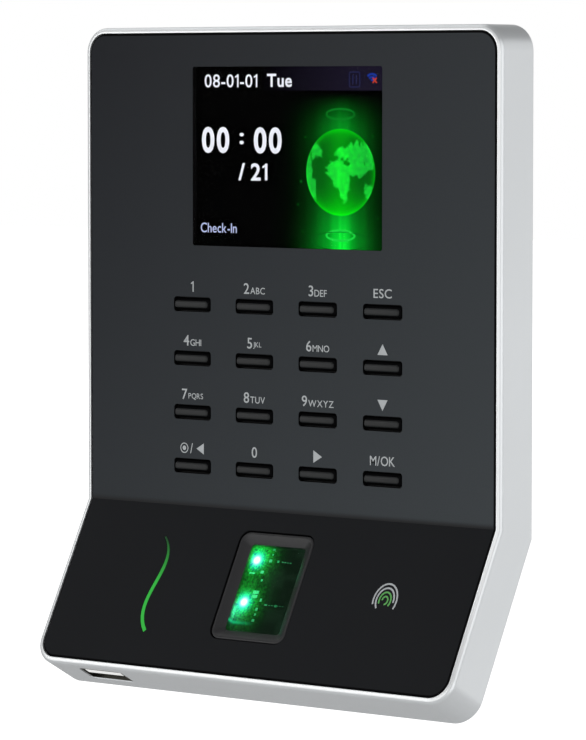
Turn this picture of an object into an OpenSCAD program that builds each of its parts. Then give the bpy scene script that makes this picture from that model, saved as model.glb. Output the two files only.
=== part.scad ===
// Fingerprint scanner terminal that hangs on a wall plate.
// A flat upper section holds the display and the keypad. A lower section leans forward
// and holds the fingerprint scanner, the indicator light and the USB socket.
// Millimetres. X to the viewer's right, Y into the wall, Z up.
// The origin is on the wall, at the centre of the wall plate's four screw holes.

/* [Body] */
// Overall width of the housing
body_w = 126.8; // [122:0.2:132]
// Height of the upper section above the crease
upper_h = 116.8; // [116:0.2:122]
// Length of the leaning lower section, along its slope
lower_len = 43.8; // [43:0.2:46]
// Lean of the lower section, degrees from upright
tilt = 28.4; // [26:0.2:30]
// Thickness of the housing
body_t = 12.8; // [12.8:0.1:14]
// Corner radius of the housing
corner_r = 6.2; // [4:0.1:8]
// Width of the bright lip around the front panels
lip = 1.35; // [1:0.05:1.6]
// Thickness of the housing's side walls
wall_t = 1.8; // [1.7:0.1:2.4]
// Thickness of the rear cover
cover_t = 2; // [1.8:0.1:2.2]

/* [Front panels] */
// Thickness of the panels glued to the housing's web
panel_t = 1.4; // [1.2:0.1:1.6]
// Gap all round between the panels and the lip
panel_gap = 0.3; // [0.2:0.05:0.5]
// Thickness of the web behind the panels
web_t = 1.2; // [1:0.1:1.2]

/* [Display] */
// Width of the visible screen
screen_w = 57.6; // [54:0.2:58]
// Height of the visible screen
screen_h = 43.2; // [40:0.2:44]
// Height of the screen's centre above the crease
screen_z = 85.5; // [85:0.5:87]

/* [Keypad] */
// Distance between key columns
key_pitch_x = 19.4; // [19:0.1:20]
// Distance between key rows
key_pitch_z = 13.2; // [13:0.1:13.4]
// Height of the lowest row's centre above the crease
key_low_z = 9.8; // [9.4:0.1:10.2]
// Length of a key's slot
slot_w = 11.6; // [11:0.1:12]
// Height of a key's slot
slot_h = 3.6; // [3.4:0.1:4]
// How far a key stands proud of the panel
key_proud = 0.7; // [0.5:0.1:0.9]
// How far a key travels when it is pressed
key_travel = 0.7; // [0.5:0.1:0.8]

/* [Fingerprint scanner] */
// Width of the scanner's bezel
bezel_w = 22.4; // [22:0.2:23]
// Length of the scanner's bezel along the slope
bezel_l = 27.8; // [27:0.2:28.4]
// Distance of the scanner's centre from the crease, along the slope
bezel_s = 19.3; // [19:0.1:19.6]
// Width of the scanner's glass
glass_w = 16.4; // [16:0.1:16.6]
// Length of the scanner's glass along the slope
glass_l = 22.3; // [22:0.1:22.6]

/* [Sockets] */
// Sideways place of the USB socket
usb_x = -43.4; // [-44:0.1:-43]
// Depth of the USB socket's centre behind the front panel
usb_n = 5.6; // [5.5:0.05:5.7]
// Sideways place of the power socket
jack_x = 24; // [23:0.5:26]
// Depth of the power socket's axis behind the front panel
jack_y = 4; // [3:0.1:4.5]
// Radius of the power socket's centre pin
jack_pin_r = 1; // [0.9:0.05:1.1]

/* [Wall plate] */
// Width of the wall plate
plate_w = 72; // [72:1:76]
// Height of the wall plate
plate_h = 124; // [124:1:128]
// Thickness of the wall plate
plate_t = 1.2; // [1:0.1:1.5]
// Height of the screw pattern's centre above the crease
pattern_z = 34; // [33:0.5:35]
// Sideways distance between the wall screws
pattern_w = 54; // [53:0.5:56]
// Height between the wall screws
pattern_h = 72; // [71:0.5:73]
// Radius of the wall screw holes
wall_hole_r = 2.25; // [2:0.05:2.5]
// How far the terminal lifts to come off the hooks
lift = 6.5; // [6:0.1:7]

/* [Hidden] */
$fn = 48;
EPS = 0.01;
REACH = 150;
HULL_FN = 32;

// Depths behind the front panel, in the frame of the upper or the lower section
web_back = panel_t + web_t;
cover_front = body_t - cover_t;
key_flange_y = web_back + 0.1;
key_flange_t = 0.8;
key_back = key_flange_y + key_flange_t;
mat_front = key_back + key_travel + 0.4;
mat_t = 0.7;
mat_back = mat_front + mat_t;
board_y = mat_back + 0.1;
board_t = 1.6;
board_back = board_y + board_t;
lcd_y = panel_t + 0.2;
lcd_glass_t = 1.3;
lcd_can_y = lcd_y + lcd_glass_t;
lcd_can_back = 5.3;

// Flat ribbons
ribbon_t = 0.25;

// Outlines seen from the front
half_w = body_w / 2;
run_on = 150;
panel_inset = lip + panel_gap;
cover_gap = 0.2;
board_w = 100;
board_low = -2.5;
board_high = 58.8;
lcd_w = 61;
lcd_h = 46.8;
can_w = 69.2;
can_h = 50.2;
key_w = 10.9;
key_h = 2.7;
key_top_w = 10.3;
key_top_h = 1.7;
key_flange_w = 13.4;
key_flange_h = 5.2;

// Screws: clearance in the plastic around a shank
screw_r = 1;
screw_bore_r = 1.1;
screw_clear_r = 1.3;
screw_head_r = 2.2;
screw_head_t = 1.1;
boss_r = 3.2;
cover_boss_x = 56;
cover_boss_z = [108, 45];
cover_boss_s = 33;
board_screw_x = 46.5;
board_screw_z = [3.6, 55.5];
board_boss_r = 2.6;
holder_screw_x = 16.5;
io_screws = [[-47.5, 12], [-25.5, 35]];
io_boss_r = 2.4;

// Fingerprint scanner, depths in the lower section's frame
glass_n = 1.4;
glass_back = 4.1;
holder_n = 4.1;
holder_back = 13;
led_board_n = 5.8;
led_board_t = 0.8;
sensor_board_t = 1.2;
camera_x = 2.4;
holder_w = 21;
holder_l = 27;
holder_wall = 1.6;

// Socket board, depths in the lower section's frame
usb_w = 13.1;
usb_t = 5.7;
usb_len = 14;
usb_wall = 0.3;
io_n = usb_n + usb_t / 2 + 0.05;
io_t = 1;

// Hump behind the lower section, which reaches back to the wall plate
hump_half_w = 42;
hump_low = -40;

// Power socket
jack_barrel_r = 2.8;
jack_nose_r = 4.2;
jack_w = 9;
jack_d = 10.6;
jack_top = -25.5;
jack_depth = 10;
jack_root = 1.5;
jack_tip = 0.8;

// Wireless card and its antenna
wifi_x = -38;
antenna_x = -50;

// Coin cell
cell_x = 22;
cell_z = 42;
cell_r = 6.25;
cell_t = 2;

// Speaker
speaker_x = 48.4;
speaker_z = 82;
speaker_r = 10;

// Wall plate
plate_gap = 0.3;
wall_y = body_t + plate_gap + plate_t;
hook_x = 14;
hook_z = [16, 80];
hook_w = 8;
hook_tip = 5;
hook_gap = 0.3;
hook_slot = lift + 3;
head_pocket_r = 5;
head_pocket_y = 10.2;
pocket_floor = 1;

key_names = [
    ["key_left", "key_0", "key_right", "key_ok"],
    ["key_7", "key_8", "key_9", "key_down"],
    ["key_4", "key_5", "key_6", "key_up"],
    ["key_1", "key_2", "key_3", "key_esc"]
];

// ---------------------------------------------------------------- placing

// From the terminal's frame, at the crease on the front, to the row's frame on the wall
module place() {
    translate([0, -wall_y, -pattern_z]) children();
}

// The lower section's frame: z runs up the slope from the crease, y into the body
module lower() {
    rotate([-tilt, 0, 0]) children();
}

// A flat outline in x and z, extruded from depth y0 to depth y1
module layer(y0, y1) {
    translate([0, y1, 0]) rotate([90, 0, 0]) linear_extrude(y1 - y0) children();
}

// A rectangle with round corners, centred
module rounded(w, h, r) {
    square([w - 2 * r, h], center = true);
    square([w, h - 2 * r], center = true);
    for (sx = [-1, 1], sz = [-1, 1]) {
        translate([sx * (w / 2 - r), sz * (h / 2 - r)]) circle(r);
    }
}

// A block given by its centre in x and z, its size, and its front and back depths
module slab(x, z, w, h, y0, y1) {
    translate([x - w / 2, y0, z - h / 2]) cube([w, y1 - y0, h]);
}

// A cylinder along y
module post(x, z, r, y0, y1) {
    translate([x, y0, z]) rotate([-90, 0, 0]) cylinder(r = r, h = y1 - y0);
}

// A round wire from point to point
module wire(points, r) {
    for (i = [0 : len(points) - 2]) {
        a = points[i];
        d = points[i + 1] - a;
        translate(a) rotate([0, acos(d.z / norm(d)), atan2(d.y, d.x)]) cylinder(r = r, h = norm(d));
    }
    for (i = [1 : len(points) - 2]) {
        translate(points[i]) sphere(r = r * 1.06);
    }
}

// A flat ribbon, bent in the y-z plane, given by the points along one side
module ribbon(x, w, points) {
    back = [for (i = [len(points) - 1 : -1 : 0]) points[i] + [ribbon_t, 0]];
    translate([x - w / 2, 0, 0]) rotate([90, 0, 90]) linear_extrude(w) polygon(concat(points, back));
}

// ---------------------------------------------------------------- bent body

// Upper outline with round top corners, inset all round, running on below the crease
module upper_outline(inset) {
    w = half_w - inset;
    h = upper_h - inset;
    r = corner_r - inset;
    translate([-w, -run_on]) square([2 * w, run_on + h - r]);
    translate([r - w, -run_on]) square([2 * (w - r), run_on + h]);
    for (s = [-1, 1]) {
        translate([s * (w - r), h - r]) circle(r);
    }
}

// Lower outline with round bottom corners, running on above the crease
module lower_outline(inset) {
    w = half_w - inset;
    h = lower_len - inset;
    r = corner_r - inset;
    translate([-w, r - h]) square([2 * w, run_on + h - r]);
    translate([r - w, -h]) square([2 * (w - r), run_on + h]);
    for (s = [-1, 1]) {
        translate([s * (w - r), r - h]) circle(r);
    }
}

// Points of the side view at depth n behind the fronts: at the top, the crease and the bottom
function top_end(n) = [n, upper_h + 1];
function crease(n) = [n, -n * tan(tilt / 2)];
function low_end(n) = [
    n * cos(tilt) - (lower_len + 1) * sin(tilt),
    -n * sin(tilt) - (lower_len + 1) * cos(tilt)
];

// A side view drawn out sideways, past the body's width
module strip(points) {
    translate([-body_w, 0, 0]) rotate([90, 0, 90]) linear_extrude(2 * body_w) polygon(points);
}

module bent_strip(n0, n1) {
    strip([top_end(n0), top_end(n1), crease(n1), low_end(n1), low_end(n0), crease(n0)]);
}

// A layer of the whole bent body, from depth n0 to n1 behind the front surfaces
module bent_layer(n0, n1, inset) {
    intersection() {
        bent_strip(n0, n1);
        layer(-REACH, REACH) upper_outline(inset);
        lower() layer(-REACH, REACH) lower_outline(inset);
    }
}

// The whole body, with an edge that slopes back all round the front
module edged_body() {
    slope_in = lip * 0.7;
    intersection() {
        bent_strip(0, body_t);
        union() {
            hull() {
                layer(-lip, EPS - lip) upper_outline(2 * slope_in, $fn = HULL_FN);
                layer(lip, lip + EPS) upper_outline(0, $fn = HULL_FN);
            }
            lower() hull() {
                layer(-lip, EPS - lip) lower_outline(2 * slope_in, $fn = HULL_FN);
                layer(lip, lip + EPS) lower_outline(0, $fn = HULL_FN);
            }
            layer(lip, REACH) upper_outline(0);
            lower() layer(lip, REACH) lower_outline(0);
        }
    }
}

// ---------------------------------------------------------------- shared places

function key_x(col) = (col - 1.5) * key_pitch_x;
function key_z(row) = key_low_z + row * key_pitch_z;

module at_keys() {
    for (row = [0 : 3], col = [0 : 3]) {
        translate([key_x(col), 0, key_z(row)]) children();
    }
}

module at_cover_screws() {
    for (sx = [-1, 1], z = cover_boss_z) {
        translate([sx * cover_boss_x, 0, z]) children();
    }
    for (sx = [-1, 1]) {
        lower() translate([sx * cover_boss_x, 0, -cover_boss_s]) children();
    }
}

module at_board_screws() {
    for (sx = [-1, 1], z = board_screw_z) {
        translate([sx * board_screw_x, 0, z]) children();
    }
}

module at_holder_screws() {
    for (sx = [-1, 1]) {
        lower() translate([sx * holder_screw_x, 0, -bezel_s]) children();
    }
}

module at_io_screws() {
    for (p = io_screws) {
        lower() translate([p.x, 0, -p.y]) children();
    }
}

module at_hooks() {
    for (sx = [-1, 1], z = hook_z) {
        translate([sx * hook_x, 0, z]) children();
    }
}

module at_wall_screws() {
    for (sx = [-1, 1], sz = [-1, 1]) {
        translate([sx * pattern_w / 2, 0, pattern_z + sz * pattern_h / 2]) children();
    }
}

// ---------------------------------------------------------------- indicator curve

// Control points of the indicator's curve: x, and distance down the slope
curve = [[-34.4, 8.6], [-26.6, 15.8], [-38.8, 25.2], [-31.2, 33.3]];
curve_steps = 20;
curve_half_w = 0.45;
curve_top_half_w = 0.2;

function bezier(c, t) = pow(1 - t, 3) * c[0] + 3 * t * pow(1 - t, 2) * c[1]
    + 3 * t * t * (1 - t) * c[2] + pow(t, 3) * c[3];
function slope_of(c, t) = pow(1 - t, 2) * (c[1] - c[0]) + 2 * t * (1 - t) * (c[2] - c[1])
    + t * t * (c[3] - c[2]);
function across(c, t) = let (d = slope_of(c, t)) [-d.y, d.x] / norm(d);
function curve_reach(t, extra) = extra + curve_top_half_w
    + (curve_half_w - curve_top_half_w) * min(1, 3 * t);
function curve_side(side, extra) = [for (i = [0 : curve_steps]) let (t = i / curve_steps)
    bezier(curve, t) + side * curve_reach(t, extra) * across(curve, t)];
function reversed(list) = [for (i = [len(list) - 1 : -1 : 0]) list[i]];

module curve_outline(extra) {
    mirror([0, 1]) polygon(concat(curve_side(1, extra), reversed(curve_side(-1, extra))));
}

// ---------------------------------------------------------------- wall plate

module wall_plate() {
    tip_front = cover_front - hook_gap - plate_t;
    plate_front = wall_y - plate_t;
    cut_h = 2 * hook_tip;
    color("#9a9da0") place() {
        difference() {
            layer(plate_front, wall_y) translate([0, pattern_z]) rounded(plate_w, plate_h, 4);
            at_wall_screws() post(0, 0, wall_hole_r, plate_front - 1, wall_y + 1);
            at_hooks() slab(0, cut_h / 2, hook_w + 1, cut_h, plate_front - 1, wall_y + 1);
        }
        at_hooks() {
            slab(0, -plate_t / 2, hook_w, plate_t, tip_front, wall_y);
            slab(0, (hook_tip - plate_t) / 2, hook_w, hook_tip + plate_t,
                tip_front, tip_front + plate_t);
        }
    }
}

// ---------------------------------------------------------------- housing

// The opening in the bottom wall for the USB socket
module usb_cut(grow) {
    half_t = (usb_t + grow) / 2;
    lower() slab(usb_x, -lower_len, usb_w + grow, 8, usb_n - half_t, usb_n + half_t);
}

module front_housing() {
    screen_room = 0.6;
    stem_room = 0.4;
    window_w = lcd_w + screen_room;
    window_h = lcd_h + screen_room;
    color("#cfd3d6") place() {
        difference() {
            edged_body();
            bent_layer(-1, panel_t, lip);
            bent_layer(web_back, body_t + 1, wall_t);
            slab(0, screen_z, window_w, window_h, panel_t - EPS, web_back + EPS);
            at_keys() slab(0, 0, key_w + stem_room, key_h + stem_room, panel_t - EPS, web_back + EPS);
            lower() slab(0, -bezel_s, bezel_w + 0.4, bezel_l + 0.4, panel_t - EPS, web_back + EPS);
            lower() layer(panel_t - EPS, web_back + EPS) curve_outline(0.4);
            usb_cut(0.5);
        }
        difference() {
            at_cover_screws() post(0, 0, boss_r, web_back - 0.2, cover_front);
            at_cover_screws() post(0, 0, screw_bore_r, web_back + 1, body_t);
        }
        difference() {
            at_board_screws() post(0, 0, board_boss_r, web_back - 0.2, board_y);
            at_board_screws() post(0, 0, screw_bore_r, web_back + 0.4, body_t);
        }
        difference() {
            at_holder_screws() post(0, 0, io_boss_r, web_back - 0.2, holder_n);
            at_holder_screws() post(0, 0, screw_bore_r, panel_t + 0.4, body_t);
        }
        difference() {
            at_io_screws() post(0, 0, io_boss_r, web_back - 0.2, io_n);
            at_io_screws() post(0, 0, screw_bore_r, web_back + 1, body_t);
        }
    }
}

// Side view of the hump, and of the space inside it
module hump_profile(wall, front_n) {
    y1 = body_t - wall;
    z0 = hump_low + wall;
    y0 = (front_n + z0 * sin(tilt)) / cos(tilt);
    rise = (y1 * cos(tilt) - front_n) / sin(tilt);
    polygon([[y1, rise], [y1, z0], [y0, z0]]);
}

module hump(reach_x, wall, front_n) {
    translate([-reach_x, 0, 0]) rotate([90, 0, 90]) linear_extrude(2 * reach_x) {
        hump_profile(wall, front_n);
    }
}

// A round-ended upright slot for a wall screw's head, which slides down it as the terminal lifts
module head_slot(r, y0, y1) {
    post(0, 0, r, y0, y1);
    post(0, -lift, r, y0, y1);
    slab(0, -lift / 2, 2 * r, lift, y0, y1);
}

module rear_cover() {
    inset = wall_t + cover_gap;
    pocket_r = head_pocket_r + pocket_floor;
    pocket_front = head_pocket_y - pocket_floor;
    sink_r = screw_head_r + 0.3;
    sink_y = body_t - screw_head_t - 0.2;
    cover_cut = cover_front - 1;
    grille_pitch = 2.8;
    grille_r = 0.7;
    color("#4a4d50") place() {
        difference() {
            union() {
                bent_layer(cover_front, body_t, inset);
                hump(hump_half_w, 0, cover_front + 0.5);
                at_wall_screws() head_slot(pocket_r, pocket_front, body_t);
            }
            hump(hump_half_w - cover_t, cover_t, cover_front - 2);
            at_wall_screws() head_slot(head_pocket_r, head_pocket_y, body_t + 1);
            at_hooks() slab(0, -hook_slot / 2, hook_w + 0.6, hook_slot, cover_cut, body_t + 1);
            at_cover_screws() post(0, 0, screw_clear_r, cover_cut, body_t + 1);
            at_cover_screws() post(0, 0, sink_r, sink_y, body_t + 1);
            translate([speaker_x, 0, speaker_z]) {
                for (i = [-2 : 2], j = [-2 : 2]) {
                    if (abs(i) + abs(j) < 4) {
                        post(i * grille_pitch, j * grille_pitch, grille_r, cover_cut, body_t + 1);
                    }
                }
            }
            translate([jack_x, jack_y, hump_low - 1]) cylinder(r = jack_nose_r + 0.15, h = cover_t + 2);
        }
        difference() {
            at_wall_screws() head_slot(pocket_r, pocket_front, body_t);
            at_wall_screws() head_slot(head_pocket_r, head_pocket_y, body_t + 1);
        }
    }
}

// A pan-head screw along y, with its head's underside at y = 0 and its point towards the front
module screw(length) {
    post(0, 0, screw_head_r, 0, screw_head_t);
    post(0, 0, screw_r, -length, EPS);
}

module rear_cover_screws() {
    under = body_t - screw_head_t - 0.2;
    color("#b9bcc0") place() {
        at_cover_screws() translate([0, under, 0]) screw(6);
    }
}

module board_screws() {
    color("#c9ccd0") place() {
        at_board_screws() translate([0, board_back, 0]) screw(3.8);
        at_holder_screws() translate([0, holder_n + 1.5, 0]) screw(3);
        at_io_screws() translate([0, io_n + io_t, 0]) screw(5);
    }
}

// ---------------------------------------------------------------- front panels

module upper_panel() {
    color("#34383a") place() {
        difference() {
            intersection() {
                strip([top_end(0), top_end(panel_t), crease(panel_t), crease(0)]);
                layer(-REACH, REACH) upper_outline(panel_inset);
            }
            layer(-1, panel_t + 1) translate([0, screen_z]) rounded(screen_w + 0.2, screen_h + 0.2, 0.6);
            layer(-1, panel_t + 1) {
                for (row = [0 : 3], col = [0 : 3]) {
                    translate([key_x(col), key_z(row)]) rounded(slot_w, slot_h, 0.8);
                }
            }
        }
    }
}

module lower_panel() {
    color("#1c1d1f") place() {
        difference() {
            intersection() {
                strip([crease(0), crease(panel_t), low_end(panel_t), low_end(0)]);
                lower() layer(-REACH, REACH) lower_outline(panel_inset);
            }
            lower() layer(-1, panel_t + 1) {
                translate([0, -bezel_s]) rounded(bezel_w + 0.4, bezel_l + 0.4, 2.8);
            }
            lower() layer(-1, panel_t + 1) curve_outline(0.05);
        }
    }
}

// ---------------------------------------------------------------- display

module display_window() {
    color([0.1, 0.1, 0.12, 0.5]) place() {
        layer(0, panel_t) translate([0, screen_z]) rounded(screen_w, screen_h, 0.5);
    }
}

module display_gasket() {
    color("#202020") place() {
        layer(panel_t, lcd_y) translate([0, screen_z]) {
            difference() {
                square([lcd_w, lcd_h], center = true);
                square([screen_w + 1, screen_h + 1], center = true);
            }
        }
    }
}

module lcd_panel() {
    color("#0b0d12") place() slab(0, screen_z, lcd_w, lcd_h, lcd_y, lcd_can_y);
}

module lcd_backlight() {
    rim = 1.2;
    color("#e8ecef") place() {
        slab(0, screen_z, can_w - 2 * rim, can_h - 2 * rim, lcd_can_y + 0.1, lcd_can_back - 0.4);
    }
}

module lcd_can() {
    wall = 0.6;
    floor_t = 0.3;
    rise = 0.1;
    color("#a9adb0") place() {
        difference() {
            slab(0, screen_z, can_w, can_h, lcd_can_y + rise, lcd_can_back);
            slab(0, screen_z, can_w - 2 * wall, can_h - 2 * wall, lcd_can_y, lcd_can_back - floor_t);
        }
    }
}

// From behind the display's can down to its socket on the board
module lcd_ribbon() {
    ribbon_w = 22;
    can_side = lcd_can_back + 0.1;
    board_side = board_back + 0.3;
    color("#b9722c") place() {
        ribbon(0, ribbon_w, [[can_side, 66], [can_side, 61.4], [board_side, 59.6], [board_side, 54.7]]);
    }
}

// ---------------------------------------------------------------- keypad

// One key: a bar with sloping sides on a flange that the web holds back
module key(row, col) {
    color("#2b2b2c") place() translate([key_x(col), 0, key_z(row)]) {
        hull() {
            layer(-key_proud, EPS - key_proud) rounded(key_top_w, key_top_h, 0.4, $fn = HULL_FN);
            layer(0.6, 0.6 + EPS) rounded(key_w, key_h, 0.5, $fn = HULL_FN);
        }
        layer(0.6, key_flange_y + EPS) rounded(key_w, key_h, 0.5);
        slab(0, 0, key_flange_w, key_flange_h, key_flange_y, key_back);
    }
}

// Rubber sheet with one hollow dome behind each key
module keypad_mat() {
    dome_r = 2.3;
    hollow_r = 1.6;
    dome_top_t = 0.6;
    margin = 1.2;
    mat_w = 3 * key_pitch_x + key_flange_w + 2 * margin;
    mat_h = 3 * key_pitch_z + key_flange_h + 2 * margin;
    color("#8f9396") place() {
        difference() {
            union() {
                slab(0, key_low_z + 1.5 * key_pitch_z, mat_w, mat_h, mat_front, mat_back);
                at_keys() post(0, 0, dome_r, key_back, mat_front + EPS);
            }
            at_keys() post(0, 0, hollow_r, key_back + dome_top_t, mat_back + 1);
        }
    }
}

module contact_pads() {
    pad_r = 1.4;
    color("#d8a53a") place() {
        at_keys() post(0, 0, pad_r, board_y - 0.08, board_y);
    }
}

// ---------------------------------------------------------------- main board

module main_board() {
    middle = (board_low + board_high) / 2;
    color("#1f6b3a") place() {
        difference() {
            slab(0, middle, board_w, board_high - board_low, board_y, board_back);
            at_board_screws() post(0, 0, screw_clear_r, board_y - 1, board_back + 1);
        }
    }
}

module processor() {
    color("#222428") place() slab(-8, 30, 14, 14, board_back, board_back + 1.4);
}

module memory_chips() {
    color("#2a2c30") place() {
        slab(-8, 46.5, 12, 8, board_back, board_back + 1.1);
        slab(8.5, 34, 8, 11, board_back, board_back + 1.1);
    }
}

// Capacitors, inductors, the crystal and the power converter
module board_components() {
    small_t = 0.9;
    tall_t = 2;
    color("#8a8378") place() {
        for (i = [0 : 5]) {
            slab(-22 + i * 4, 19, 1.2, 2, board_back, board_back + small_t);
            slab(1.5 + (i % 2) * 2.5, 26 + floor(i / 2) * 3.5, 1, 1.8, board_back, board_back + small_t);
        }
        for (i = [0 : 3]) {
            post(38 - i * 0.5, 8 + i * 5, 2, board_back, board_back + tall_t);
            slab(-38, 10 + i * 4.5, 3, 2.2, board_back, board_back + small_t);
        }
        slab(-22, 33, 5, 3.2, board_back, board_back + 1);
        slab(41, 32, 7, 7, board_back, board_back + tall_t);
        slab(41, 41, 5, 4, board_back, board_back + 1.3);
    }
}

// White sockets for the ribbons and leads
module board_connectors() {
    socket_t = 1.8;
    ribbon_socket_t = 1.2;
    color("#e6e3d8") place() {
        slab(0, 53, 24, 3.4, board_back, board_back + ribbon_socket_t);
        slab(0, 5.4, 14, 3.4, board_back, board_back + ribbon_socket_t);
        slab(-28, 5.4, 14, 3.4, board_back, board_back + ribbon_socket_t);
        slab(-40, 3.5, 5, 4.4, board_back, board_back + socket_t);
        slab(jack_x, 8, 7, 4, board_back, board_back + socket_t);
        slab(41, 49, 5, 3.6, board_back, board_back + socket_t);
    }
}

// A small card with a metal shield over its chips
module wifi_module() {
    card_t = 0.8;
    shield_t = 1.5;
    color("#b9bdc1") place() {
        slab(wifi_x, 40, 13, 17, board_back, board_back + card_t);
        slab(wifi_x, 39, 11.6, 13, board_back + card_t, board_back + card_t + shield_t);
    }
}

module antenna() {
    color("#1b1b1d") place() slab(antenna_x, 84, 9, 36, web_back, web_back + 0.6);
}

module antenna_lead() {
    lead_y = board_back + 1.5;
    color("#2a2a2c") place() {
        wire([
            [wifi_x, lead_y, 48], [wifi_x, lead_y, 54],
            [antenna_x, lead_y, 62], [antenna_x, web_back + 1.2, 72]
        ], 0.55);
    }
}

module coin_cell_holder() {
    cup_r = cell_r + 0.1;
    cup_floor = 0.4;
    color("#e0ddd0") place() translate([cell_x, 0, cell_z]) {
        difference() {
            post(0, 0, cup_r + 1.65, board_back, board_back + cup_floor + cell_t);
            post(0, 0, cup_r, board_back + cup_floor, board_back + 5);
        }
    }
}

module coin_cell() {
    cell_y = board_back + 0.45;
    color("#d3d6d9") place() post(cell_x, cell_z, cell_r, cell_y, cell_y + cell_t);
}

module speaker() {
    color("#1d1e20") place() translate([speaker_x, 0, speaker_z]) {
        post(0, 0, speaker_r, cover_front - 1.8, cover_front - 0.1);
        post(0, 0, speaker_r * 0.7, cover_front - 4.6, cover_front - 1.8 + EPS);
    }
}

module speaker_lead() {
    color("#a02020") place() {
        wire([[48.4, 7.6, 74.6], [47, 7.6, 64], [42, 9, 55], [42, 9, 51.5]], 0.5);
        wire([[46.4, 7.6, 74.8], [45, 7.6, 64], [40, 9, 55], [40, 9, 51.5]], 0.5);
    }
}

// ---------------------------------------------------------------- fingerprint scanner

module fingerprint_bezel() {
    rim_n = 0.25;
    flange = 1.8;
    bevel_n = glass_n;
    color("#2c2b2d") place() lower() translate([0, 0, -bezel_s]) {
        difference() {
            union() {
                layer(rim_n, web_back + 0.1 + EPS) rounded(bezel_w, bezel_l, 2.6);
                layer(web_back + 0.1, holder_n - 0.1) {
                    rounded(bezel_w + 2 * flange, bezel_l + 2 * flange, 2);
                }
            }
            layer(-1, body_t) rounded(glass_w + 0.1, glass_l + 0.1, 0.9);
            hull() {
                layer(rim_n - EPS, rim_n) rounded(bezel_w - 1.4, bezel_l - 1.4, 2, $fn = HULL_FN);
                layer(bevel_n - EPS, bevel_n) rounded(glass_w + 0.1, glass_l + 0.1, 0.9, $fn = HULL_FN);
            }
        }
    }
}

module fingerprint_glass() {
    color([0.1, 0.55, 0.25, 0.5]) place() lower() translate([0, 0, -bezel_s]) {
        layer(glass_n, glass_back - 0.2) rounded(glass_w, glass_l, 0.85);
    }
}

module fingerprint_holder() {
    ear_t = 1.5;
    ear_w = 2 * holder_screw_x + 5;
    color("#18191a") place() lower() translate([0, 0, -bezel_s]) {
        difference() {
            union() {
                slab(0, 0, holder_w, holder_l, holder_n, holder_back);
                slab(0, 0, ear_w, 6, holder_n, holder_n + ear_t);
            }
            slab(0, 0, holder_w - 2 * holder_wall, holder_l - 2 * holder_wall,
                holder_n - 1, holder_back + 1);
            for (sx = [-1, 1]) {
                post(sx * holder_screw_x, 0, screw_clear_r, holder_n - 1, holder_n + ear_t + 1);
            }
        }
    }
}

// Board under the glass, with a round hole that the camera looks through
module fingerprint_led_board() {
    color("#1d5a34") place() lower() translate([0, 0, -bezel_s]) {
        difference() {
            slab(0, 0, holder_w - 2 * holder_wall - 0.2, holder_l - 2 * holder_wall - 0.2,
                led_board_n, led_board_n + led_board_t);
            post(camera_x, 0, 4.2, led_board_n - 1, led_board_n + 3);
        }
    }
}

module fingerprint_leds() {
    led_t = 0.8;
    color("#7dffb0") place() lower() translate([0, 0, -bezel_s]) {
        for (z = [-3.2, 7.8]) {
            slab(-6.4, z, 1.8, 1.8, led_board_n - led_t, led_board_n);
        }
    }
}

module fingerprint_camera() {
    color("#101114") place() lower() translate([camera_x, 0, -bezel_s]) {
        post(0, 0, 3.4, led_board_n + led_board_t + 1.6, holder_back);
        slab(0, 0, 8.6, 8.6, holder_back - 2.4, holder_back);
    }
}

module fingerprint_board() {
    color("#1f6b3a") place() lower() translate([0, 0, -bezel_s]) {
        slab(0, 0, holder_w - 1, holder_l - 1, holder_back, holder_back + sensor_board_t);
    }
}

module fingerprint_ribbon() {
    flat_w = 12;
    end_y = board_back + 0.3;
    color("#e4e6e8") place() {
        ribbon(0, flat_w, [[8.5, -15.6], [10, -12.2], [9.4, -8], [end_y, -0.5], [end_y, 3.7]]);
    }
}

// ---------------------------------------------------------------- indicator and sockets

module indicator_light_guide() {
    color("#2fae3c") place() lower() layer(0, io_n - 1.1) curve_outline(0);
}

module indicator_leds() {
    color("#c8ffd0") place() lower() {
        for (t = [0.25, 0.5, 0.75]) {
            c = bezier(curve, t);
            slab(c.x, -c.y, 1.8, 1.6, io_n - 0.9, io_n);
        }
    }
}

module io_board() {
    color("#1f6b3a") place() lower() {
        difference() {
            slab(-36.9, -23.6, 29.8, 35, io_n, io_n + io_t);
            for (p = io_screws) {
                post(p.x, -p.y, screw_clear_r, io_n - 1, io_n + io_t + 1);
            }
        }
    }
}

module io_ribbon() {
    flat_w = 12;
    end_y = board_back + 0.3;
    color("#e4e6e8") place() {
        ribbon(-28, flat_w, [[4.8, -13], [6.6, -9], [end_y, -1.5], [end_y, 3.7]]);
    }
}

module usb_shell() {
    mouth = lower_len - 0.1;
    color("#c4c7ca") place() lower() {
        difference() {
            slab(usb_x, usb_len / 2 - mouth, usb_w, usb_len, usb_n - usb_t / 2, usb_n + usb_t / 2);
            slab(usb_x, usb_len / 2 - mouth - 1, usb_w - 2 * usb_wall, usb_len,
                usb_n - usb_t / 2 + usb_wall, usb_n + usb_t / 2 - usb_wall);
        }
    }
}

module usb_tongue() {
    mouth = lower_len - 0.1;
    root = usb_len - 1;
    tip_back = 0.15;
    color("#e9e9e6") place() lower() {
        slab(usb_x, (root + tip_back) / 2 - mouth, 11.1, root - tip_back, usb_n - 1.9, usb_n - 0.1);
        slab(usb_x, root - 1 - mouth, usb_w - 2 * usb_wall - 0.1, 2 - EPS,
            usb_n - usb_t / 2 + usb_wall + 0.05, usb_n + usb_t / 2 - usb_wall - 0.05);
    }
}

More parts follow.
